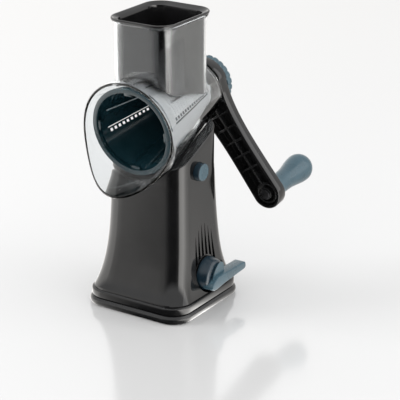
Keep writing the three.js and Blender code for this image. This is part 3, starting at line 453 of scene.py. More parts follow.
foot_high = span("foot_ring")[1]
FOOT_HALF = foot_high.x
FOOT_TOP = foot_high.z
FOOT_CORNER = 21.0
PLINTH_HALF = FOOT_HALF - 1.4
PLINTH_START = span("stand_shell")[0].z
PLINTH_TOP = 16.8
lever_joint = Vector(joints["suction_lever_turn"]["pos_m"]) / MM
LEVER_LINE = Vector((0, lever_joint.y, lever_joint.z))
LEVER_HUB = 17.5
LEVER_BORE = 10.5
LEVER_FACE = 49.0
button_low, button_high = span("release_button")
BUTTON_RADIUS = 9.0
BUTTON_MIDDLE = Vector((button_high.x, (button_low.y + button_high.y) / 2, button_high.z - BUTTON_RADIUS))
ALONG_X = Matrix.Rotation(math.pi / 2, 4, "Y")
BUTTON_PLACE = Matrix.Translation(BUTTON_MIDDLE) @ ALONG_X
TONGUE_HALF = (10.0, 8.0)


def lever_place(x=0.0):
    """Local z along +X, from the lever's line; local x points down."""
    return Matrix.Translation(LEVER_LINE + Vector((x, 0, 0))) @ ALONG_X


def barrel_radius(z):
    return BARREL_RADIUS - TAPER * z


def barrel_height(x, y, offset, side):
    """Height of the barrel's skin over a point, or None beside the barrel.

    The skin is moved out by offset. side is 1 for the barrel's top and -1 for its bottom.
    """
    reach = 0.0
    for _ in range(8):  # the radius depends on where the point falls along the axis
        z = (y - MOUTH.y + side * reach * AXIS.z) / AXIS.y
        reach = math.sqrt(max((barrel_radius(z) + offset) ** 2 - x * x, 0))
    if reach == 0.0:
        return None
    return MOUTH.z + side * reach * AXIS.y + z * AXIS.z


def flare(z):
    """The share of the way from the waist's width to the plinth's."""
    up = z - PLINTH_TOP - 1
    at_waist = 0.15
    taper = 0.0015
    at_plinth = 0.72
    fade = 28  # the height over which the plinth's part dies away
    return at_waist - taper * up + at_plinth * math.exp(-up / fade)


def tower_section(z, inset):
    """The tower's half widths, corner radius and shift along y at a height."""
    share = flare(z)
    corner_growth = 2.5
    shift_height = 53
    return (
        WAIST_HALF[0] + (PLINTH_HALF - WAIST_HALF[0]) * share - inset,
        WAIST_HALF[1] + (PLINTH_HALF - WAIST_HALF[1]) * share - inset,
        WAIST_CORNER + corner_growth * share - inset,
        TOWER_SHIFT * min(1, (z - PLINTH_TOP) / shift_height),
    )


def saddle_height(x, y):
    """The top of the tower over a point: the sloping rim, or the barrel's bed."""
    rim = SADDLE_RIM.z + (y - SADDLE_RIM.y) * math.tan(SADDLE_TILT)
    bed = barrel_height(x, y, SADDLE_PLAY, -1)
    return rim if bed is None else min(rim, bed)


SIDE_POINTS = (8, 8, 8, 12)


def plinth_ring(z, inset):
    half = PLINTH_HALF - inset
    return rounded_ring(half, half, FOOT_CORNER - inset, z, per_side=SIDE_POINTS)


def tower_ring(z, inset):
    x, y, corner, shift = tower_section(z, inset)
    return rounded_ring(x, y, corner, z, shift, per_side=SIDE_POINTS)


def saddle_ring(inset, rise=1.0, share=1.0, drop=0.0):
    """A ring below the saddle, or on it.

    rise is how far each point has come from SADDLE_START to the saddle, share draws the ring in towards its
    middle, and drop lowers it.
    """
    x, y, corner, shift = tower_section(SADDLE_SECTION, inset)
    points = []
    for px, py, _ in rounded_ring(x, y, corner, 0, shift, per_side=SIDE_POINTS):
        px *= share
        py = (py - shift) * share + shift
        points.append((px, py, SADDLE_START + (saddle_height(px, py) - SADDLE_START) * rise - drop))
    return points


FLUTES = 6
FLUTE_PITCH = 2 * (LEVER_HUB - 1.5) / (FLUTES - 1)
FLUTE_HEIGHT = 37.0


def flute(number):
    """A wedge that cuts one slot of the fan above the lever; it narrows to a point."""
    across = (number - (FLUTES - 1) / 2) * FLUTE_PITCH
    low = LEVER_LINE.z + math.sqrt(LEVER_HUB ** 2 - across ** 2) - 1
    high = LEVER_LINE.z + LEVER_HUB + FLUTE_HEIGHT - abs(across) * 0.8
    y = LEVER_LINE.y + across
    lean = -across * 0.14
    outside = 60
    rings = []
    for z, half, deep, shift in (
        (low, 3.0, 44.4, 0), ((low + high) / 2, 2.1, 45.0, lean / 2), (high, 0.25, 46.3, lean),
    ):
        narrow = half * 0.6
        rings.append([(deep, y + shift - narrow, z), (outside, y + shift - half, z),
                      (outside, y + shift + half, z), (deep, y + shift + narrow, z)])
    return skin("flute", rings, sharp=20)


def tower_inside():
    """The tower's hollow, open at the bottom."""
    inset = WALL + 1.6
    steps = 16
    rings = [plinth_ring(z, WALL) for z in (PLINTH_START - 5, PLINTH_TOP - WALL)]
    for k in range(steps + 1):
        rings.append(tower_ring(PLINTH_TOP - WALL + 1 + (SADDLE_START - PLINTH_TOP) * k / steps, inset))
    top = 9
    for k in range(top):
        rings.append(saddle_ring(inset, share=1 - k / top, drop=WALL))
    return skin("tower_inside", rings, sharp=40)


def tower_outside():
    edge = 0.9
    rings = [plinth_ring(z, inset) for z, inset in (
        (PLINTH_START, edge), (PLINTH_START + edge * 0.3, edge * 0.3), (PLINTH_START + edge, 0),
        (PLINTH_TOP - 1.6, 0), (PLINTH_TOP - 0.8, 0.25), (PLINTH_TOP - 0.25, 0.8), (PLINTH_TOP, 1.6),
    )]
    shoulder = PLINTH_HALF - 2.6
    rings.append(rounded_ring(shoulder, shoulder, WAIST_CORNER + 1.6, PLINTH_TOP + 0.15,
                              per_side=SIDE_POINTS))
    levels = [PLINTH_TOP + 1 + k * 1.5 for k in range(50)]
    levels += [levels[-1] + (SADDLE_START - levels[-1]) * k / 12 for k in range(1, 13)]
    rings += [tower_ring(z, 0) for z in levels]
    rings += [saddle_ring(0, rise=k / 5) for k in range(1, 5)]
    round_edge = 1.4
    for k in range(6):
        turn = math.pi / 2 * k / 5
        inset = round_edge * (1 - math.cos(turn))
        rings.append(saddle_ring(inset, drop=round_edge * (1 - math.sin(turn))))
    insets = (1.8, 2.2, 2.6, 3.0, 3.5, 4.2, 5, 6.5, 8.5, 11, 14, 17)
    rings += [saddle_ring(inset) for inset in insets]
    rings += [saddle_ring(insets[-1], share=share) for share in (0.8, 0.6, 0.4, 0.2, 0.02)]
    return skin("tower", rings, sharp=40)


def tower_cuts():
    """What is cut out of the tower, one after another."""
    yield tower_inside()
    for number in range(FLUTES):
        yield flute(number)
    yield rod("recess", LEVER_HUB + 1.4, 0, 30, lever_place(LEVER_FACE), 0.01)
    yield rod("bore", LEVER_BORE, 0, 60, lever_place(20), 0.01)
    yield rod("bore", BUTTON_RADIUS + 0.45, -30, 20, BUTTON_PLACE, 0.01)
    half_x = TONGUE_HALF[0] + SADDLE_PLAY
    half_y = TONGUE_HALF[1] + SADDLE_PLAY
    middle = BUTTON_MIDDLE.y
    yield block("slot", (-half_x, middle - half_y, 120), (half_x, middle + half_y, 180), 0.2)


def tower():
    shell = tower_outside()
    for cut in tower_cuts():
        shell = combine(shell, cut, "DIFFERENCE", 40)
    return shell


def recess_floor():
    """The ring-shaped floor behind the lever's hub."""
    return tube("recess_floor", LEVER_BORE, LEVER_HUB + 1.2, -2.2, -0.2, lever_place(LEVER_FACE), soften=0.1)


def foot():
    inner = FOOT_HALF - 6
    path = rounded([(inner, 0), (FOOT_HALF - 1.6, 0), (FOOT_HALF, 3.2), (FOOT_HALF, FOOT_TOP - 2.8),
                    (FOOT_HALF - 2.2, FOOT_TOP), (inner, FOOT_TOP)], 2.4, 5)
    rings = [rounded_ring(half, half, FOOT_CORNER - (FOOT_HALF - half), z) for half, z in path]
    return skin("foot", rings, loop=True, sharp=50)


dress(tower(), "stand", gloss_black, "gloss_black", "stand_shell")
dress(recess_floor(), "stand", gloss_black, "gloss_black")
dress(foot(), "stand", satin_black, "soft_black", "foot_ring")


def suction_cup():
    low, high = span("suction_cup")
    radius = (high.x - low.x) / 2
    rim = 4
    web = 3
    return turned("cup", [
        (0, 0), (radius, 0), (radius - 1, rim), (radius - 12, rim), (radius - 15, web), (12.4, web),
        (9.4, high.z), (0, high.z),
    ], Matrix.Translation((0, LEVER_LINE.y, 0)))


dress(suction_cup(), "stand", rubber, "rubber", "suction_cup")

# ---- suction lever and release button


def lever_profile(up):
    """Local x along +Y and z along +X, from the lever's line; local y points up for 1 and down for -1."""
    axes = Matrix(((0, 0, 1, 0), (1, 0, 0, 0), (0, up, 0, 0), (0, 0, 0, 1)))
    return Matrix.Translation(LEVER_LINE) @ axes


def lever_hub():
    top = 12.4
    return turned("hub", [
        (0, 0), (LEVER_HUB, 0), (LEVER_HUB - 0.4, 3.5), (LEVER_HUB - 2.2, top - 1.6), (LEVER_HUB - 4.2, top),
        (0, top),
    ], lever_place(LEVER_FACE + 0.6), soften=1.2)


def lever_bar():
    """The bar, with its squared far end."""
    high = span("suction_lever")[1]
    reach = high.y - LEVER_LINE.y
    outline = [(reach, 0), (reach, 7.4), (6, 10), (-4, 11.6), (-12, 11.8), (-15.4, 9.4), (-13.4, 4.6),
               (-5, -0.4), (2, -0.9)]
    outline = rounded(outline, 3.2, 5, closed=True)
    return pulled("lever_bar", outline, high.x - 12, high.x, lever_profile(-1), bevel=1.1)


def lever_leaf():
    """The leaf-shaped face over the hub."""
    start = LEVER_FACE + 11
    outline = rounded([(-9, -4), (-6, 3), (-1, 9), (4, 12), (9, 10), (10, 4), (9, -4)], 3, 4, closed=True)
    return pulled("lever_leaf", outline, start, start + 4, lever_profile(1), bevel=1.6)


def lever_pieces():
    # The hub and spigot take the darker blue copy: painted shade on the same plastic as the bar and leaf.
    hub = dress(lever_hub(), "lever", petrol_painted_shade, "petrol_blue", "suction_lever")
    hub.name = "lever_hub"
    dress(lever_bar(), "lever", petrol, "petrol_blue")
    dress(lever_leaf(), "lever", petrol, "petrol_blue")
    spigot = tube("lever_spigot", 4.4, 8, -4.8, 1, lever_place(LEVER_FACE))
    dress(spigot, "lever", petrol_painted_shade, "petrol_blue")


lever_pieces()


def button():
    """The button's body on its stem, its face, and the peg at the back that pushes the latch."""
    stem = 4
    back = button_low.x - button_high.x
    shoulder = -12
    front = -0.6
    body = turned("button_body", [
        (0, back), (stem, back), (stem, shoulder), (BUTTON_RADIUS, shoulder), (BUTTON_RADIUS, front),
        (BUTTON_RADIUS - 0.8, front), (0, front),
    ], BUTTON_PLACE, soften=0.3)
    face = turned("button_face", [
        (0, -1), (BUTTON_RADIUS - 0.6, -1), (BUTTON_RADIUS - 0.8, -0.3), (BUTTON_RADIUS - 1.8, 0),
        (0, -0.25),
    ], BUTTON_PLACE, soften=0.4)
    peg = block("button_peg", (button_low.x, BUTTON_MIDDLE.y - 4, button_low.z),
                (button_low.x + 3.4, BUTTON_MIDDLE.y + 4, BUTTON_MIDDLE.z + 2))
    # The body and peg take the darker blue copy: painted shade on the same plastic as the face.
    dress(body, "release", petrol_painted_shade, "petrol_blue", "release_button")
    dress(face, "release", petrol, "petrol_blue")
    dress(peg, "release", petrol_painted_shade, "petrol_blue")


button()

# ---- housing

HOOD_TOP = 5.5
HOOD_SPOUT = 35.0
SPOUT_POWER = 9
REAR_WALL = 3.0
BUSH_HOLE = 9.6
HOPPER_HALF = (34.5, 40.0)
HOPPER_CORNER = 17.5
HOPPER_SHIFT = -1.4
HOPPER_WALL = 2.5
HOPPER_TOP = span("housing")[1].z
HOPPER_LIP = 1.8


def barrel():
    """The barrel and its hood, whose lip reaches forward as a spout at the bottom."""
    count = 144
    sections = []
    inner = BARREL_RADIUS - BARREL_WALL
    rear_inside = BARREL_LENGTH - REAR_WALL
    for i in range(count):
        angle = TURN * i / count  # from straight down
        lip = -HOOD_TOP - HOOD_SPOUT * abs(math.cos(angle / 2)) ** SPOUT_POWER
        path = rounded([
            (BARREL_RADIUS, lip), (BARREL_RADIUS, -1), (barrel_radius(40), 40), (barrel_radius(80), 80),
            (BARREL_REAR_RADIUS, BARREL_LENGTH), (BUSH_HOLE, BARREL_LENGTH), (BUSH_HOLE, rear_inside),
            (barrel_radius(rear_inside) - BARREL_WALL, rear_inside), (barrel_radius(40) - BARREL_WALL, 40),
            (inner, 0), (inner, lip),
        ], 1.2, 4, closed=True)
        sections.append([(r * math.sin(angle), r * math.cos(angle), z) for r, z in path])
    return skin("barrel", sections, TILTED, sharp=40, loop=True)


def barrel_room():
    """What is kept clear inside the barrel when the hopper's walls come down on it."""
    rear = BARREL_LENGTH - REAR_WALL / 2
    half = BARREL_WALL / 2
    return turned("room", [
        (0, -HOOD_TOP), (BARREL_RADIUS - half, -HOOD_TOP), (BARREL_RADIUS - half, 0),
        (barrel_radius(rear) - half, rear), (0, rear),
    ], TILTED, count=144, soften=0.01)


def hopper_ring(z, x=0.0, y=0.0, corner=0.0):
    """A ring of the hopper, set out along x, along y and at its corners."""
    return rounded_ring(HOPPER_HALF[0] + x, HOPPER_HALF[1] + y, HOPPER_CORNER + corner, z, HOPPER_SHIFT)


def hopper_walls():
    start = HOPPER_TOP - HOPPER_LIP
    rows = [
        (MOUTH.z + 12,), (MOUTH.z + 40,), (start - 1.4,), (start - 0.5, 0.4, 0.8, 0.4),
        (start, 1.0, 2.2, 0.8), (HOPPER_TOP - 0.5, 1.2, 3.0, 1.0), (HOPPER_TOP, 0.8, 2.6, 0.8),
    ]
    return skin("hopper", [hopper_ring(*row) for row in rows], sharp=40)


def hopper_well():
    inset = -HOPPER_WALL
    rings = [hopper_ring(z, inset, inset, inset) for z in (MOUTH.z + 8, HOPPER_TOP + 2)]
    return skin("well", rings, sharp=40)


def tongue():
    """The block under the barrel that the latch holds, with its top hollowed to the barrel's skin."""
    bottom = span("housing")[0].z
    middle = BUTTON_MIDDLE.y
    half_x, half_y = TONGUE_HALF
    overlap = 0.3
    columns = 12
    points = []
    for i in range(columns + 1):
        x = -half_x + 2 * half_x * i / columns
        for y in (middle - half_y, middle + half_y):
            points.append((x, y, bottom))
            points.append((x, y, barrel_height(x, y, -overlap, -1)))
    faces = [(0, 1, 3, 2), tuple(len(points) - 4 + k for k in (0, 2, 3, 1))]
    for i in range(columns):
        a = i * 4
        b = a + 4
        faces += [(a, b, b + 1, a + 1), (a + 2, a + 3, b + 3, b + 2), (a, a + 2, b + 2, b),
                  (a + 1, b + 1, b + 3, a + 3)]
    return solid("tongue", points, faces)


def housing():
    walls = combine(hopper_walls(), barrel_room(), "DIFFERENCE", 40)
    shell = combine(barrel(), walls, "UNION", 40)
    shell = combine(shell, hopper_well(), "DIFFERENCE", 40)
    shell.name = "clear_housing"
    return shell


dress(housing(), "housing", clear, "clear", "housing")
dress(tongue(), "housing", clear, "clear")


def rear_bush():
    start, end = along("rear_bush")
    inner = 6.9
    play = 0.3
    sleeve = BUSH_HOLE - play
    flange = BUSH_HOLE + 3.7
    seat = BARREL_LENGTH + play
    return turned("bush", [
        (inner, start), (sleeve, start), (sleeve, seat), (flange, seat), (flange, end), (inner, end),
    ], TILTED, loop=True)


dress(rear_bush(), "housing", matte_black, "matte_black", "rear_bush")

# ---- pusher


def pusher():
    """A hollow cup whose sole follows the barrel's top, with a rolled rim over the hopper."""
    low, high = span("pusher")
    play = 0.4
    wall = 2.6
    under = HOPPER_TOP + 0.3
    half_x = HOPPER_HALF[0] - HOPPER_WALL - play
    half_y = HOPPER_HALF[1] - HOPPER_WALL - play
    corner = HOPPER_CORNER - HOPPER_WALL - play
    rim_corner = HOPPER_CORNER + 1.5
    rim_x = high.x
    rim_y = (high.y - low.y) / 2

    lowest = MOUTH.z + 20

    def sole(offset):
        """The height of a surface that follows the barrel's top."""
        def height(x, y):
            found = barrel_height(x, y, -BARREL_WALL + offset, 1)
            return lowest if found is None else max(found, lowest)
        return height

    def ring(half_x, half_y, corner, z):
        return rounded_ring(half_x, half_y, corner, z, HOPPER_SHIFT)

    def shrunk(sizes, height, shares):
        """Rings drawn in towards the middle by each share."""
        flat = [(x, y - HOPPER_SHIFT) for x, y, _ in ring(*sizes, 0)]
        drawn = [[(x * share, y * share + HOPPER_SHIFT) for x, y in flat] for share in shares]
        return [[(x, y, height(x, y)) for x, y in points] for points in drawn]

    def inset(sizes, distance):
        return [size - distance for size in sizes]

    outer = (half_x, half_y, corner)
    inner = inset(outer, wall)
    rim = (rim_x, rim_y, rim_corner)
    bottom = sole(-0.3)
    inside = sole(wall)
    rings = shrunk(inset(outer, 1), bottom, (0.02, 0.25, 0.5, 0.75, 0.9))
    rings.append(ring(*inset(outer, 0.8), bottom))
    rings.append(ring(*outer, lambda x, y: bottom(x, y) + 0.8))
    for share in (0.15, 0.3, 0.5, 0.75):
        rings.append(ring(*outer, lambda x, y, s=share: bottom(x, y) * (1 - s) + (under - 0.6) * s))
    rings.append(ring(*outer, under))
    for distance, z in (
        (1, under), (0.3, under + 0.3), (0, under + 0.9), (0, high.z - 0.9), (0.3, high.z - 0.25),
        (0.9, high.z), (1.6, high.z - 0.05),
    ):
        rings.append(ring(*inset(rim, distance), z))
    rings.append(ring(rim_x - 2.4, rim_y - 2.6, rim_corner - 2.4, high.z - 0.5))
    rings.append(ring(rim_x - 3.4, rim_y - 4.4, rim_corner - 3.4, high.z - 1.4))
    for outset, drop in ((1.6, 2.9), (1, 6), (0, 16), (0, 25)):
        rings.append(ring(*inset(inner, -outset), high.z - drop))
    rings.append(ring(*inner, lambda x, y: inside(x, y) + 2))
    rings += shrunk(inner, inside, (0.97, 0.9, 0.75, 0.5, 0.25, 0.02))
    return skin("pusher_cup", rings, sharp=45)


dress(pusher(), "pusher", gloss_black, "gloss_black", "pusher")

# ---- drum

DRUM_PLAY = 4.6
DRUM_WALL = 2.0
RING_START, RING_END = along("drum_ring")
FRAME_START, DRUM_END = along("drum_frame")
BAND = 9.0
BACK_THICK = 3.0
WINDOW_START = FRAME_START + BAND
WINDOW_END = DRUM_END - BAND
WINDOW_HALF = math.radians(32)
WINDOW_MIDDLES = [math.pi / 4 + k * math.pi / 2 for k in range(4)]
TEETH = 14
WAVES = ((-0.12, 0.8), (0.79, 0.8), (-0.8, 0.2), (-0.12, 0.8))  # where each plate is corrugated, from -1 to 1


def drum_radius(z):
    return barrel_radius(z) - BARREL_WALL - DRUM_PLAY


def drum_ring():
    """The drum's rim, with four L-shaped bayonet tabs inside."""
    outer = drum_radius(0)
    inner = outer - 5
    ring = turned("drum_rim", [
        (inner, RING_START), (outer - 0.4, RING_START), (outer, 0), (drum_radius(RING_END), RING_END),
        (inner + 0.6, RING_END), (inner, 3),
    ], TILTED, count=144, loop=True, soften=0.5)
    parts = [ring]
    for quarter in range(4):
        place = TILTED @ Matrix.Rotation(quarter * math.pi / 2, 4, "Z")
        for side, end in ((-5, 3), (3, RING_END)):
            outline = rounded(rectangle(inner - 3.4, inner + 1, side, 5), 0.6, 3, closed=True)
            parts.append(pulled("tab", outline, 0.5, end, place, bevel=0.35))
    return merged("drum_ring_piece", parts)


def curved_sheet(name, angles, zs, radius_at, keep, thickness):
    """A sheet on the drum's surface, steel outside and inside a dark blue-green that is a painted reflection
    of the drum ring and the dark surroundings. keep says which cells stay.
    """
    points = []
    for a in angles:
        for z in zs:
            r = radius_at(a, z)
            points.append((r * math.cos(a), r * math.sin(a), z))
    rows = len(zs)
    faces = []
    for i in range(len(angles) - 1):
        for j in range(rows - 1):
            middle = ((angles[i] + angles[i + 1]) / 2, (zs[j] + zs[j + 1]) / 2)
            if keep(*middle):
                faces.append((i * rows + j, (i + 1) * rows + j, (i + 1) * rows + j + 1, i * rows + j + 1))
    sheet = solid(name, points, faces, TILTED, sharp=45)
    first = sheet.data.polygons[0]
    outward = first.center / MM - MOUTH
    outward -= AXIS * outward.dot(AXIS)
    if first.normal.dot(outward) < 0:
        sheet.data.flip_normals()
    sheet.data.materials.append(drum_steel)
    # The inner faces get the painted reflection instead of steel.
    sheet.data.materials.append(teal_and_painted_reflection)
    applied(sheet, "SOLIDIFY", thickness=thickness * MM, offset=-1.0, material_offset=1,
            material_offset_rim=1)
    return smoothed(sheet, 45)


def lined(obj, node):
    """A drum sheet, which has its materials already."""
    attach(obj, "drum")
    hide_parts(node)


def drum_frame():
    """The drum's wall with its four windows."""
    count = 180
    steps = 8
    angles = [TURN * i / count for i in range(count + 1)]
    levels = [WINDOW_START + (WINDOW_END - WINDOW_START) * k / steps for k in range(steps + 1)]
    zs = sorted({FRAME_START, WINDOW_START, WINDOW_END, DRUM_END - BACK_THICK, *levels})

    def keep(a, z):
        if not WINDOW_START < z < WINDOW_END:
            return True
        return all(abs(math.remainder(a - m, TURN)) > WINDOW_HALF for m in WINDOW_MIDDLES)

    return curved_sheet("drum_wall", angles, zs, lambda a, z: drum_radius(z), keep, DRUM_WALL)


def drum_back():
    """The drum's rear wall, with a sleeve for the spindle."""
    bore = 6.8
    sleeve = 11
    sleeve_end = DRUM_END - 14
    face = DRUM_END - BACK_THICK
    return turned("drum_back", [
        (bore, sleeve_end), (sleeve, sleeve_end), (sleeve, face), (drum_radius(face) - 0.1, face),
        (drum_radius(DRUM_END), DRUM_END), (bore, DRUM_END),
    ], TILTED, loop=True, soften=0.5)


def grating_plate(name, middle, waves):
    """Corrugated over part of its width, with a row of holes near one edge."""
    gap = 0.3
    half = WINDOW_HALF - gap / drum_radius(WINDOW_END)
    z0 = WINDOW_START + gap
    z1 = WINDOW_END - gap
    pitch = (z1 - z0) / (TEETH + 0.4)
    first = z0 + 0.2 * pitch
    per_pitch = 10
    zs = [z0] + [first + pitch * k / per_pitch for k in range(TEETH * per_pitch + 1)] + [z1]
    steps = 56
    angles = [middle - half + 2 * half * k / steps for k in range(steps + 1)]
    wave_start, wave_end = waves
    hole_start = 0.8
    hole_end = 0.93
    sunk = 0.7
    wave_height = 1.8

    def share(a):
        """-1 to 1 across the plate."""
        return math.remainder(a - middle, TURN) / half

    def toothed(z):
        return first < z < first + TEETH * pitch

    def radius_at(a, z):
        s = share(a)
        radius = drum_radius(z) - sunk
        if not (wave_start < s < wave_end or hole_start < s < hole_end) or not toothed(z):
            return radius
        phase = (z - first) / pitch
        rise = 0.5 if s > hole_start else min(1, (s - wave_start) / 0.4, (wave_end + 0.02 - s) / 0.05)
        return radius + wave_height * rise * (0.5 - 0.5 * math.cos(TURN * phase))

    def keep(a, z):
        s = share(a)
        if not toothed(z):
            return True
        phase = (z - first) / pitch % 1
        return not (hole_start < s < hole_end and 0.2 < phase < 0.8)

    return curved_sheet(name, angles, zs, radius_at, keep, 0.6)


def spindle():
    """The journal in the rear bush, the square that drives the crank, and the knob's stud."""
    start, end = along("drive_spindle")
    shoulder = CRANK_START - 0.3
    square_end = CRANK_START + 11.4
    overlap = 0.5
    half = 4.5
    journal = rod("journal", 6.5, start, shoulder, TILTED)
    outline = rounded(rectangle(-half, half, -half, half), 0.5, 3, closed=True)
    drive = pulled("drive", outline, shoulder - overlap, square_end, CRANKED, 0.3)
    stud = rod("stud", 4, square_end - overlap, end, TILTED)
    return merged("spindle", [journal, drive, stud])


dress(drum_ring(), "drum", teal_rim, "drum_teal", "drum_ring")
lined(drum_frame(), "drum_frame")
dress(drum_back(), "drum", teal_and_painted_reflection, "drum_teal")
for number, (window, waves) in enumerate(zip(WINDOW_MIDDLES, WAVES), 1):
    lined(grating_plate(f"grater_{number}", window, waves), f"grating_plate_{number}")
dress(spindle(), "drum", steel, "steel", "drive_spindle")

# ---- crank

CRANK_HUB = 28.3
CRANK_TIP = 16.0
PIN_RADIUS = 3.0
SQUARE_BORE = 4.8  # half of its width


def bezier(a, b, c, d, count):
    """The points of a cubic curve between its ends, which are left out."""
    a, b, c, d = (Vector(v) for v in (a, b, c, d))
    out = []
    for k in range(1, count):
        t = k / count
        q = a * (1 - t) ** 3 + b * 3 * t * (1 - t) ** 2 + c * 3 * t * t * (1 - t) + d * t ** 3
        out.append((q.x, q.y))
    return out


def arm_outline(inset):
    """The arm's edge, moved in, pointing along local +x, anticlockwise."""
    hub = CRANK_HUB - inset
    tip = CRANK_TIP - inset
    throat = 11.5 - inset
    shank = 14.8 - inset
    lean = math.acos((hub - tip) / CRANK_THROW)
    near = CRANK_THROW * 0.27
    far = CRANK_THROW * 0.6
    hub_points = []
    for k in range(49):
        angle = lean + (TURN - 2 * lean) * k / 48
        hub_points.append((hub * math.cos(angle), hub * math.sin(angle)))
    tip_points = []
    for k in range(33):
        angle = -lean + 2 * lean * k / 32
        tip_points.append((CRANK_THROW + tip * math.cos(angle), tip * math.sin(angle)))
    lower = bezier(hub_points[-1], (near, -throat), (far, -shank), tip_points[0], 24)
    upper = bezier(tip_points[-1], (far, shank), (near, throat), hub_points[0], 24)
    return hub_points + lower + tip_points + upper


def crank_arm():
    """The arm, a shell open towards the barrel, and the ribs and bosses inside it."""
    wall = 2.6
    face = CRANK_END - 3
    rib = 0.9
    rib_top = CRANK_START + 2.2
    boss_top = CRANK_START + 0.2
    arm = pulled("arm", arm_outline(0), CRANK_START, CRANK_END, CRANKED, bevel=1.0, sharp=50)
    pocket = pulled("pocket", arm_outline(wall), CRANK_START - 3, face, CRANKED, bevel=0.6, sharp=50)
    arm = combine(arm, pocket, "DIFFERENCE", 50)
    square = block_at("bore", -SQUARE_BORE, SQUARE_BORE, -SQUARE_BORE, SQUARE_BORE,
                      CRANK_START - 2, CRANK_END + 2, 0.2)
    arm = combine(arm, square, "DIFFERENCE", 50)
    arm.name = "crank_shell"
    inside = face + 0.4
    parts = [block_at("rib", SQUARE_BORE + 4, CRANK_THROW - 6.2, -rib, rib, rib_top, inside, 0.3)]
    for share in (0.28, 0.4, 0.52, 0.64, 0.76):
        x = share * CRANK_THROW
        half = half_width(x) - wall + 0.3
        parts.append(block_at("rib", x - rib, x + rib, -half, half, rib_top, inside, 0.3))
    for radius, thick, centre, top in (
        (SQUARE_BORE + 5.8, 5.6, 0, boss_top), (18.8, 1.8, 0, rib_top),
        (PIN_RADIUS + 3.2, 2.9, CRANK_THROW, boss_top), (PIN_RADIUS + 8.2, 1.8, CRANK_THROW, rib_top),
    ):
        place = CRANKED @ Matrix.Translation((centre, 0, 0))
        parts.append(tube("boss", radius - thick, radius, top, inside, place, 64, soften=0.3))
    return arm, merged("crank_ribs", parts)


def half_width(x):
    """Half the arm's width at a distance from the hub."""
    outline = [p for p in arm_outline(0) if p[1] > 0]
    return np.interp(x, *zip(*sorted(outline)))


def block_at(name, x0, x1, y0, y1, z0, z1, bevel):
    outline = rounded(rectangle(x0, x1, y0, y1), bevel, 3, closed=True)
    return pulled(name, outline, z0, z1, CRANKED, bevel)


def knob():
    """A fluted disc with a shallow dish outside and a hole for the insert inside."""
    start, end = along("clamp_knob")
    radius = widest("clamp_knob")
    flutes = 24
    count = flutes * 12
    flute_depth = 1.2
    rings = []
    for z, inset in (
        (start, 0.9), (start + 0.3, 0.3), (start + 1, 0), (end - 2.4, 0), (end - 1.1, 0.5), (end - 0.3, 1.4),
        (end, 2.6),
    ):
        ring = []
        for k in range(count):
            angle = TURN * k / count
            wave = (0.5 + 0.5 * math.cos(flutes * angle)) ** 3
            r = radius - inset - flute_depth * wave * max(0.2, 1 - inset / 3)
            ring.append((r * math.cos(angle), r * math.sin(angle), z))
        rings.append(ring)
    for share, drop in ((0.86, 0.1), (0.82, 1.0), (0.5, 1.1), (0.3, 0.9), (0.02, 0.8)):
        rings.append(circle(radius * share, end - drop, count))
    disc = skin("knob_disc", rings, TILTED, sharp=50)
    hole = rod("hole", 6.9, start - 2, end - 2.2, TILTED, 0.01)
    return combine(disc, hole, "DIFFERENCE", 50)


def handle():
    """A grip that swells from a collar to a ball, with a seat for its end cap."""
    start, end = along("handle_grip")
    ball = widest("handle_grip", handle_centre)
    neck = 10.6
    neck_end = start + 9
    cap = 7.4
    cap_floor = end - 7
    cap_angle = math.acos((cap + 0.8) / ball)
    middle = end - ball * math.sin(cap_angle)
    outline = [(neck + 0.9, start), (neck + 1.1, start + 2), (neck + 0.4, start + 5), (neck, neck_end)]
    for k in range(1, 14):
        share = k / 14
        ease = (1 - math.cos(math.pi * share ** 1.6)) / 2
        outline.append((neck + (ball - neck) * ease, neck_end + (middle - neck_end) * share))
    for k in range(13):
        angle = cap_angle * k / 12
        outline.append((ball * math.cos(angle), middle + ball * math.sin(angle)))
    bore = PIN_RADIUS + 0.3
    outline += [(cap, end), (cap, cap_floor), (bore, cap_floor), (bore, start)]
    return turned("handle_body", outline, AT_TIP, loop=True, soften=0.3)


def handle_cap():
    start, end = along("handle_cap")
    rim = along("handle_grip")[1]
    radius = widest("handle_cap", handle_centre)
    turns = [math.pi / 2 * k / 8 for k in range(9)]
    dome = [(radius * math.cos(turn), rim + (end - rim) * math.sin(turn)) for turn in turns]
    return turned("handle_button", [(0, start), (radius, start)] + dome, AT_TIP, soften=0.3)


def handle_pin():
    """A riveted pin, with a wider head in the handle."""
    start, end = along("handle_pin")
    rivet = PIN_RADIUS + 2
    head = PIN_RADIUS + 2.6
    return turned("pin", [
        (0, start), (rivet, start), (rivet, start + 1.3), (PIN_RADIUS, start + 1.3),
        (PIN_RADIUS, end - 2), (head, end - 2), (head, end), (0, end),
    ], AT_TIP, soften=0.4)


crank_shell, crank_ribs = crank_arm()
dress(crank_shell, "crank", gloss_black, "gloss_black", "crank_arm")
dress(crank_ribs, "crank", satin_black, "gloss_black")
dress(knob(), "clamp_knob", petrol, "petrol_blue", "clamp_knob")
dress(handle(), "handle", petrol, "petrol_blue", "handle_grip")
dress(handle_cap(), "handle", petrol, "petrol_blue", "handle_cap")
dress(handle_pin(), "crank", dark_steel, "steel", "handle_pin")

# ---- CAD nodes that stay

kept = {
    "base_plate": matte_black, "cup_clamp_ring": matte_black, "cam_bracket": matte_black,
    "lever_bush": matte_black, "latch_guide": matte_black, "latch_slide": matte_black,
    "pull_stem": matte_black, "cam_shaft": steel, "button_spring": steel, "knob_insert": brass,
}
for name, node in nodes.items():
    material = kept.get(name, steel if "screw" in name else None)
    if material is not None:
        node.data.materials.clear()
        node.data.materials.append(material)

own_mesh(nodes["button_spring"])

# ---- floor, light and camera


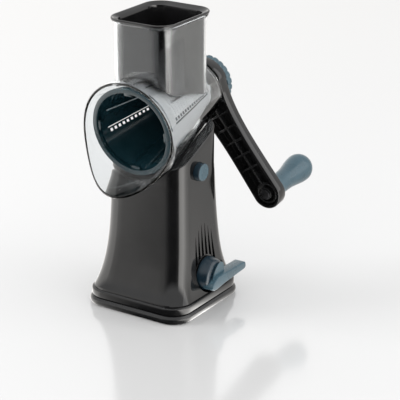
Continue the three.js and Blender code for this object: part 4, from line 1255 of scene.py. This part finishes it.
def floor():
    half = 6000
    corners = [(x, y, 0) for x, y in rectangle(-half, half, -half, half)]
    plane = solid("floor", corners, [(0, 1, 2, 3)])
    material, principled = shader("floor_white", (0.66, 0.66, 0.66), 0.1, IOR=2.3)
    vary(material, principled, "Roughness", noise(material, 3), 0.09, 0.15)
    plane.data.materials.append(material)
    plane.visible_glossy = False


def area(name, place, target, size, power, seen=True):
    """A rectangular lamp; seen says whether reflections show it."""
    data = bpy.data.lights.new(name, "AREA")
    data.shape = "RECTANGLE"
    data.size, data.size_y = (v * MM for v in size)
    data.energy = power
    lamp = bpy.data.objects.new(name, data)
    lamp.location = Vector(place) * MM
    lamp.rotation_euler = (Vector(target) - Vector(place)).to_track_quat("-Z", "Y").to_euler()
    lamp.visible_glossy = seen
    bpy.context.scene.collection.objects.link(lamp)


def headings(tree, stops, space):
    """Brightness by heading round the tower, from (degrees, brightness) pairs, from -y towards +x.

    Returns the colour's and the height's sockets and the peak brightness, which the colour is a share of.
    """
    warmth = (1, 0.98, 0.95)
    coordinates = added(tree, "TexCoord")
    parts = added(tree, "SeparateXYZ")
    back = added(tree, "Math", operation="MULTIPLY")
    back.inputs[1].default_value = -1.0
    heading = added(tree, "Math", operation="ARCTAN2")
    place = added(tree, "MapRange")
    place.inputs["From Min"].default_value = -math.pi
    place.inputs["From Max"].default_value = math.pi
    ramp = added(tree, "ValToRGB")
    while len(ramp.color_ramp.elements) < len(stops):
        ramp.color_ramp.elements.new(0.5)
    peak = max(brightness for _, brightness in stops)
    for element, (degrees, brightness) in zip(ramp.color_ramp.elements, stops):
        share = brightness / peak
        element.position = (degrees + 180) / 360
        element.color = (*(share * tint for tint in warmth), 1)
    tree.links.new(coordinates.outputs[space], parts.inputs["Vector"])
    tree.links.new(parts.outputs["Y"], back.inputs[0])
    tree.links.new(parts.outputs["X"], heading.inputs[0])
    tree.links.new(back.outputs["Value"], heading.inputs[1])
    tree.links.new(heading.outputs["Value"], place.inputs["Value"])
    tree.links.new(place.outputs["Result"], ramp.inputs["Fac"])
    return ramp.outputs["Color"], parts.outputs["Z"], peak


def reflected_floor(stops):
    """What the glossy sides see instead of the floor: a disc under it, seen only in reflections."""
    count = 96
    disc = solid("reflected_floor", circle(3000, -1, count), [tuple(range(count))])
    material = bpy.data.materials.new("reflected_floor")
    material.use_nodes = True
    tree = material.node_tree
    tree.nodes.clear()
    output = added(tree, "OutputMaterial")
    emission = added(tree, "Emission")
    color, _, peak = headings(tree, stops, "Object")
    emission.inputs["Strength"].default_value = peak
    tree.links.new(color, emission.inputs["Color"])
    tree.links.new(emission.outputs["Emission"], output.inputs["Surface"])
    disc.data.materials.append(material)
    disc.visible_camera = False
    disc.visible_diffuse = False
    disc.visible_shadow = False
    disc.visible_transmission = False


def studio_world(stops):
    """White to the camera and through the clear plastic.

    In reflections it carries on from the floor's brightness and turns white higher up.
    """
    white = 1.05
    world = bpy.data.worlds.new("studio")
    world.use_nodes = True
    tree = world.node_tree
    background = tree.nodes["Background"]
    color, height, peak = headings(tree, stops, "Generated")
    bright = added(tree, "VectorMath", operation="SCALE")
    bright.inputs["Scale"].default_value = peak
    rise = added(tree, "MapRange")
    rise.inputs["From Min"].default_value = 0.2
    rise.inputs["From Max"].default_value = 0.34
    up = added(tree, "Mix", data_type="RGBA")
    up.inputs["B"].default_value = (1, 1, 1, 1)
    path = added(tree, "LightPath")
    reflected = added(tree, "Mix", data_type="RGBA")
    reflected.inputs["A"].default_value = (white, white, white, 1)
    tree.links.new(color, bright.inputs[0])
    tree.links.new(height, rise.inputs["Value"])
    tree.links.new(rise.outputs["Result"], up.inputs["Factor"])
    tree.links.new(bright.outputs["Vector"], up.inputs["A"])
    tree.links.new(path.outputs["Is Glossy Ray"], reflected.inputs["Factor"])
    tree.links.new(up.outputs["Result"], reflected.inputs["B"])
    tree.links.new(reflected.outputs["Result"], background.inputs["Color"])
    bpy.context.scene.world = world


def camera():
    azimuth = math.radians(33)
    elevation = math.radians(20.83)
    distance = 1672.3
    target = Vector((40.25, 6, 109.9))
    back = Vector((math.sin(azimuth) * math.cos(elevation), -math.cos(azimuth) * math.cos(elevation),
                   math.sin(elevation)))
    data = bpy.data.cameras.new("camera")
    data.lens = 153
    data.sensor_width = 36
    data.clip_end = 20
    view = bpy.data.objects.new("camera", data)
    view.location = (target + back * distance) * MM
    view.rotation_euler = back.to_track_quat("Z", "Y").to_euler()
    bpy.context.scene.collection.objects.link(view)
    bpy.context.scene.camera = view


floor()
camera()
bpy.context.scene.view_settings.view_transform = "Standard"
lit = (0, 0, 150)
area("key", (-1100, -700, 900), lit, (700, 1100), 12, seen=False)
area("right", (1200, 500, 900), lit, (1400, 1400), 8)
surroundings = (
    (-180, 0.9), (-75, 2.2), (-42, 2.6), (-35, 1.3), (-29, 0.75), (-20, 0.45), (-8, 0.15), (5, 0.0),
    (38, 0.0), (52, 0.3), (60, 4.6), (80, 5.5), (100, 2.6), (122, 1.4), (142, 0.95), (180, 0.9),
)
reflected_floor(surroundings)
studio_world(surroundings)
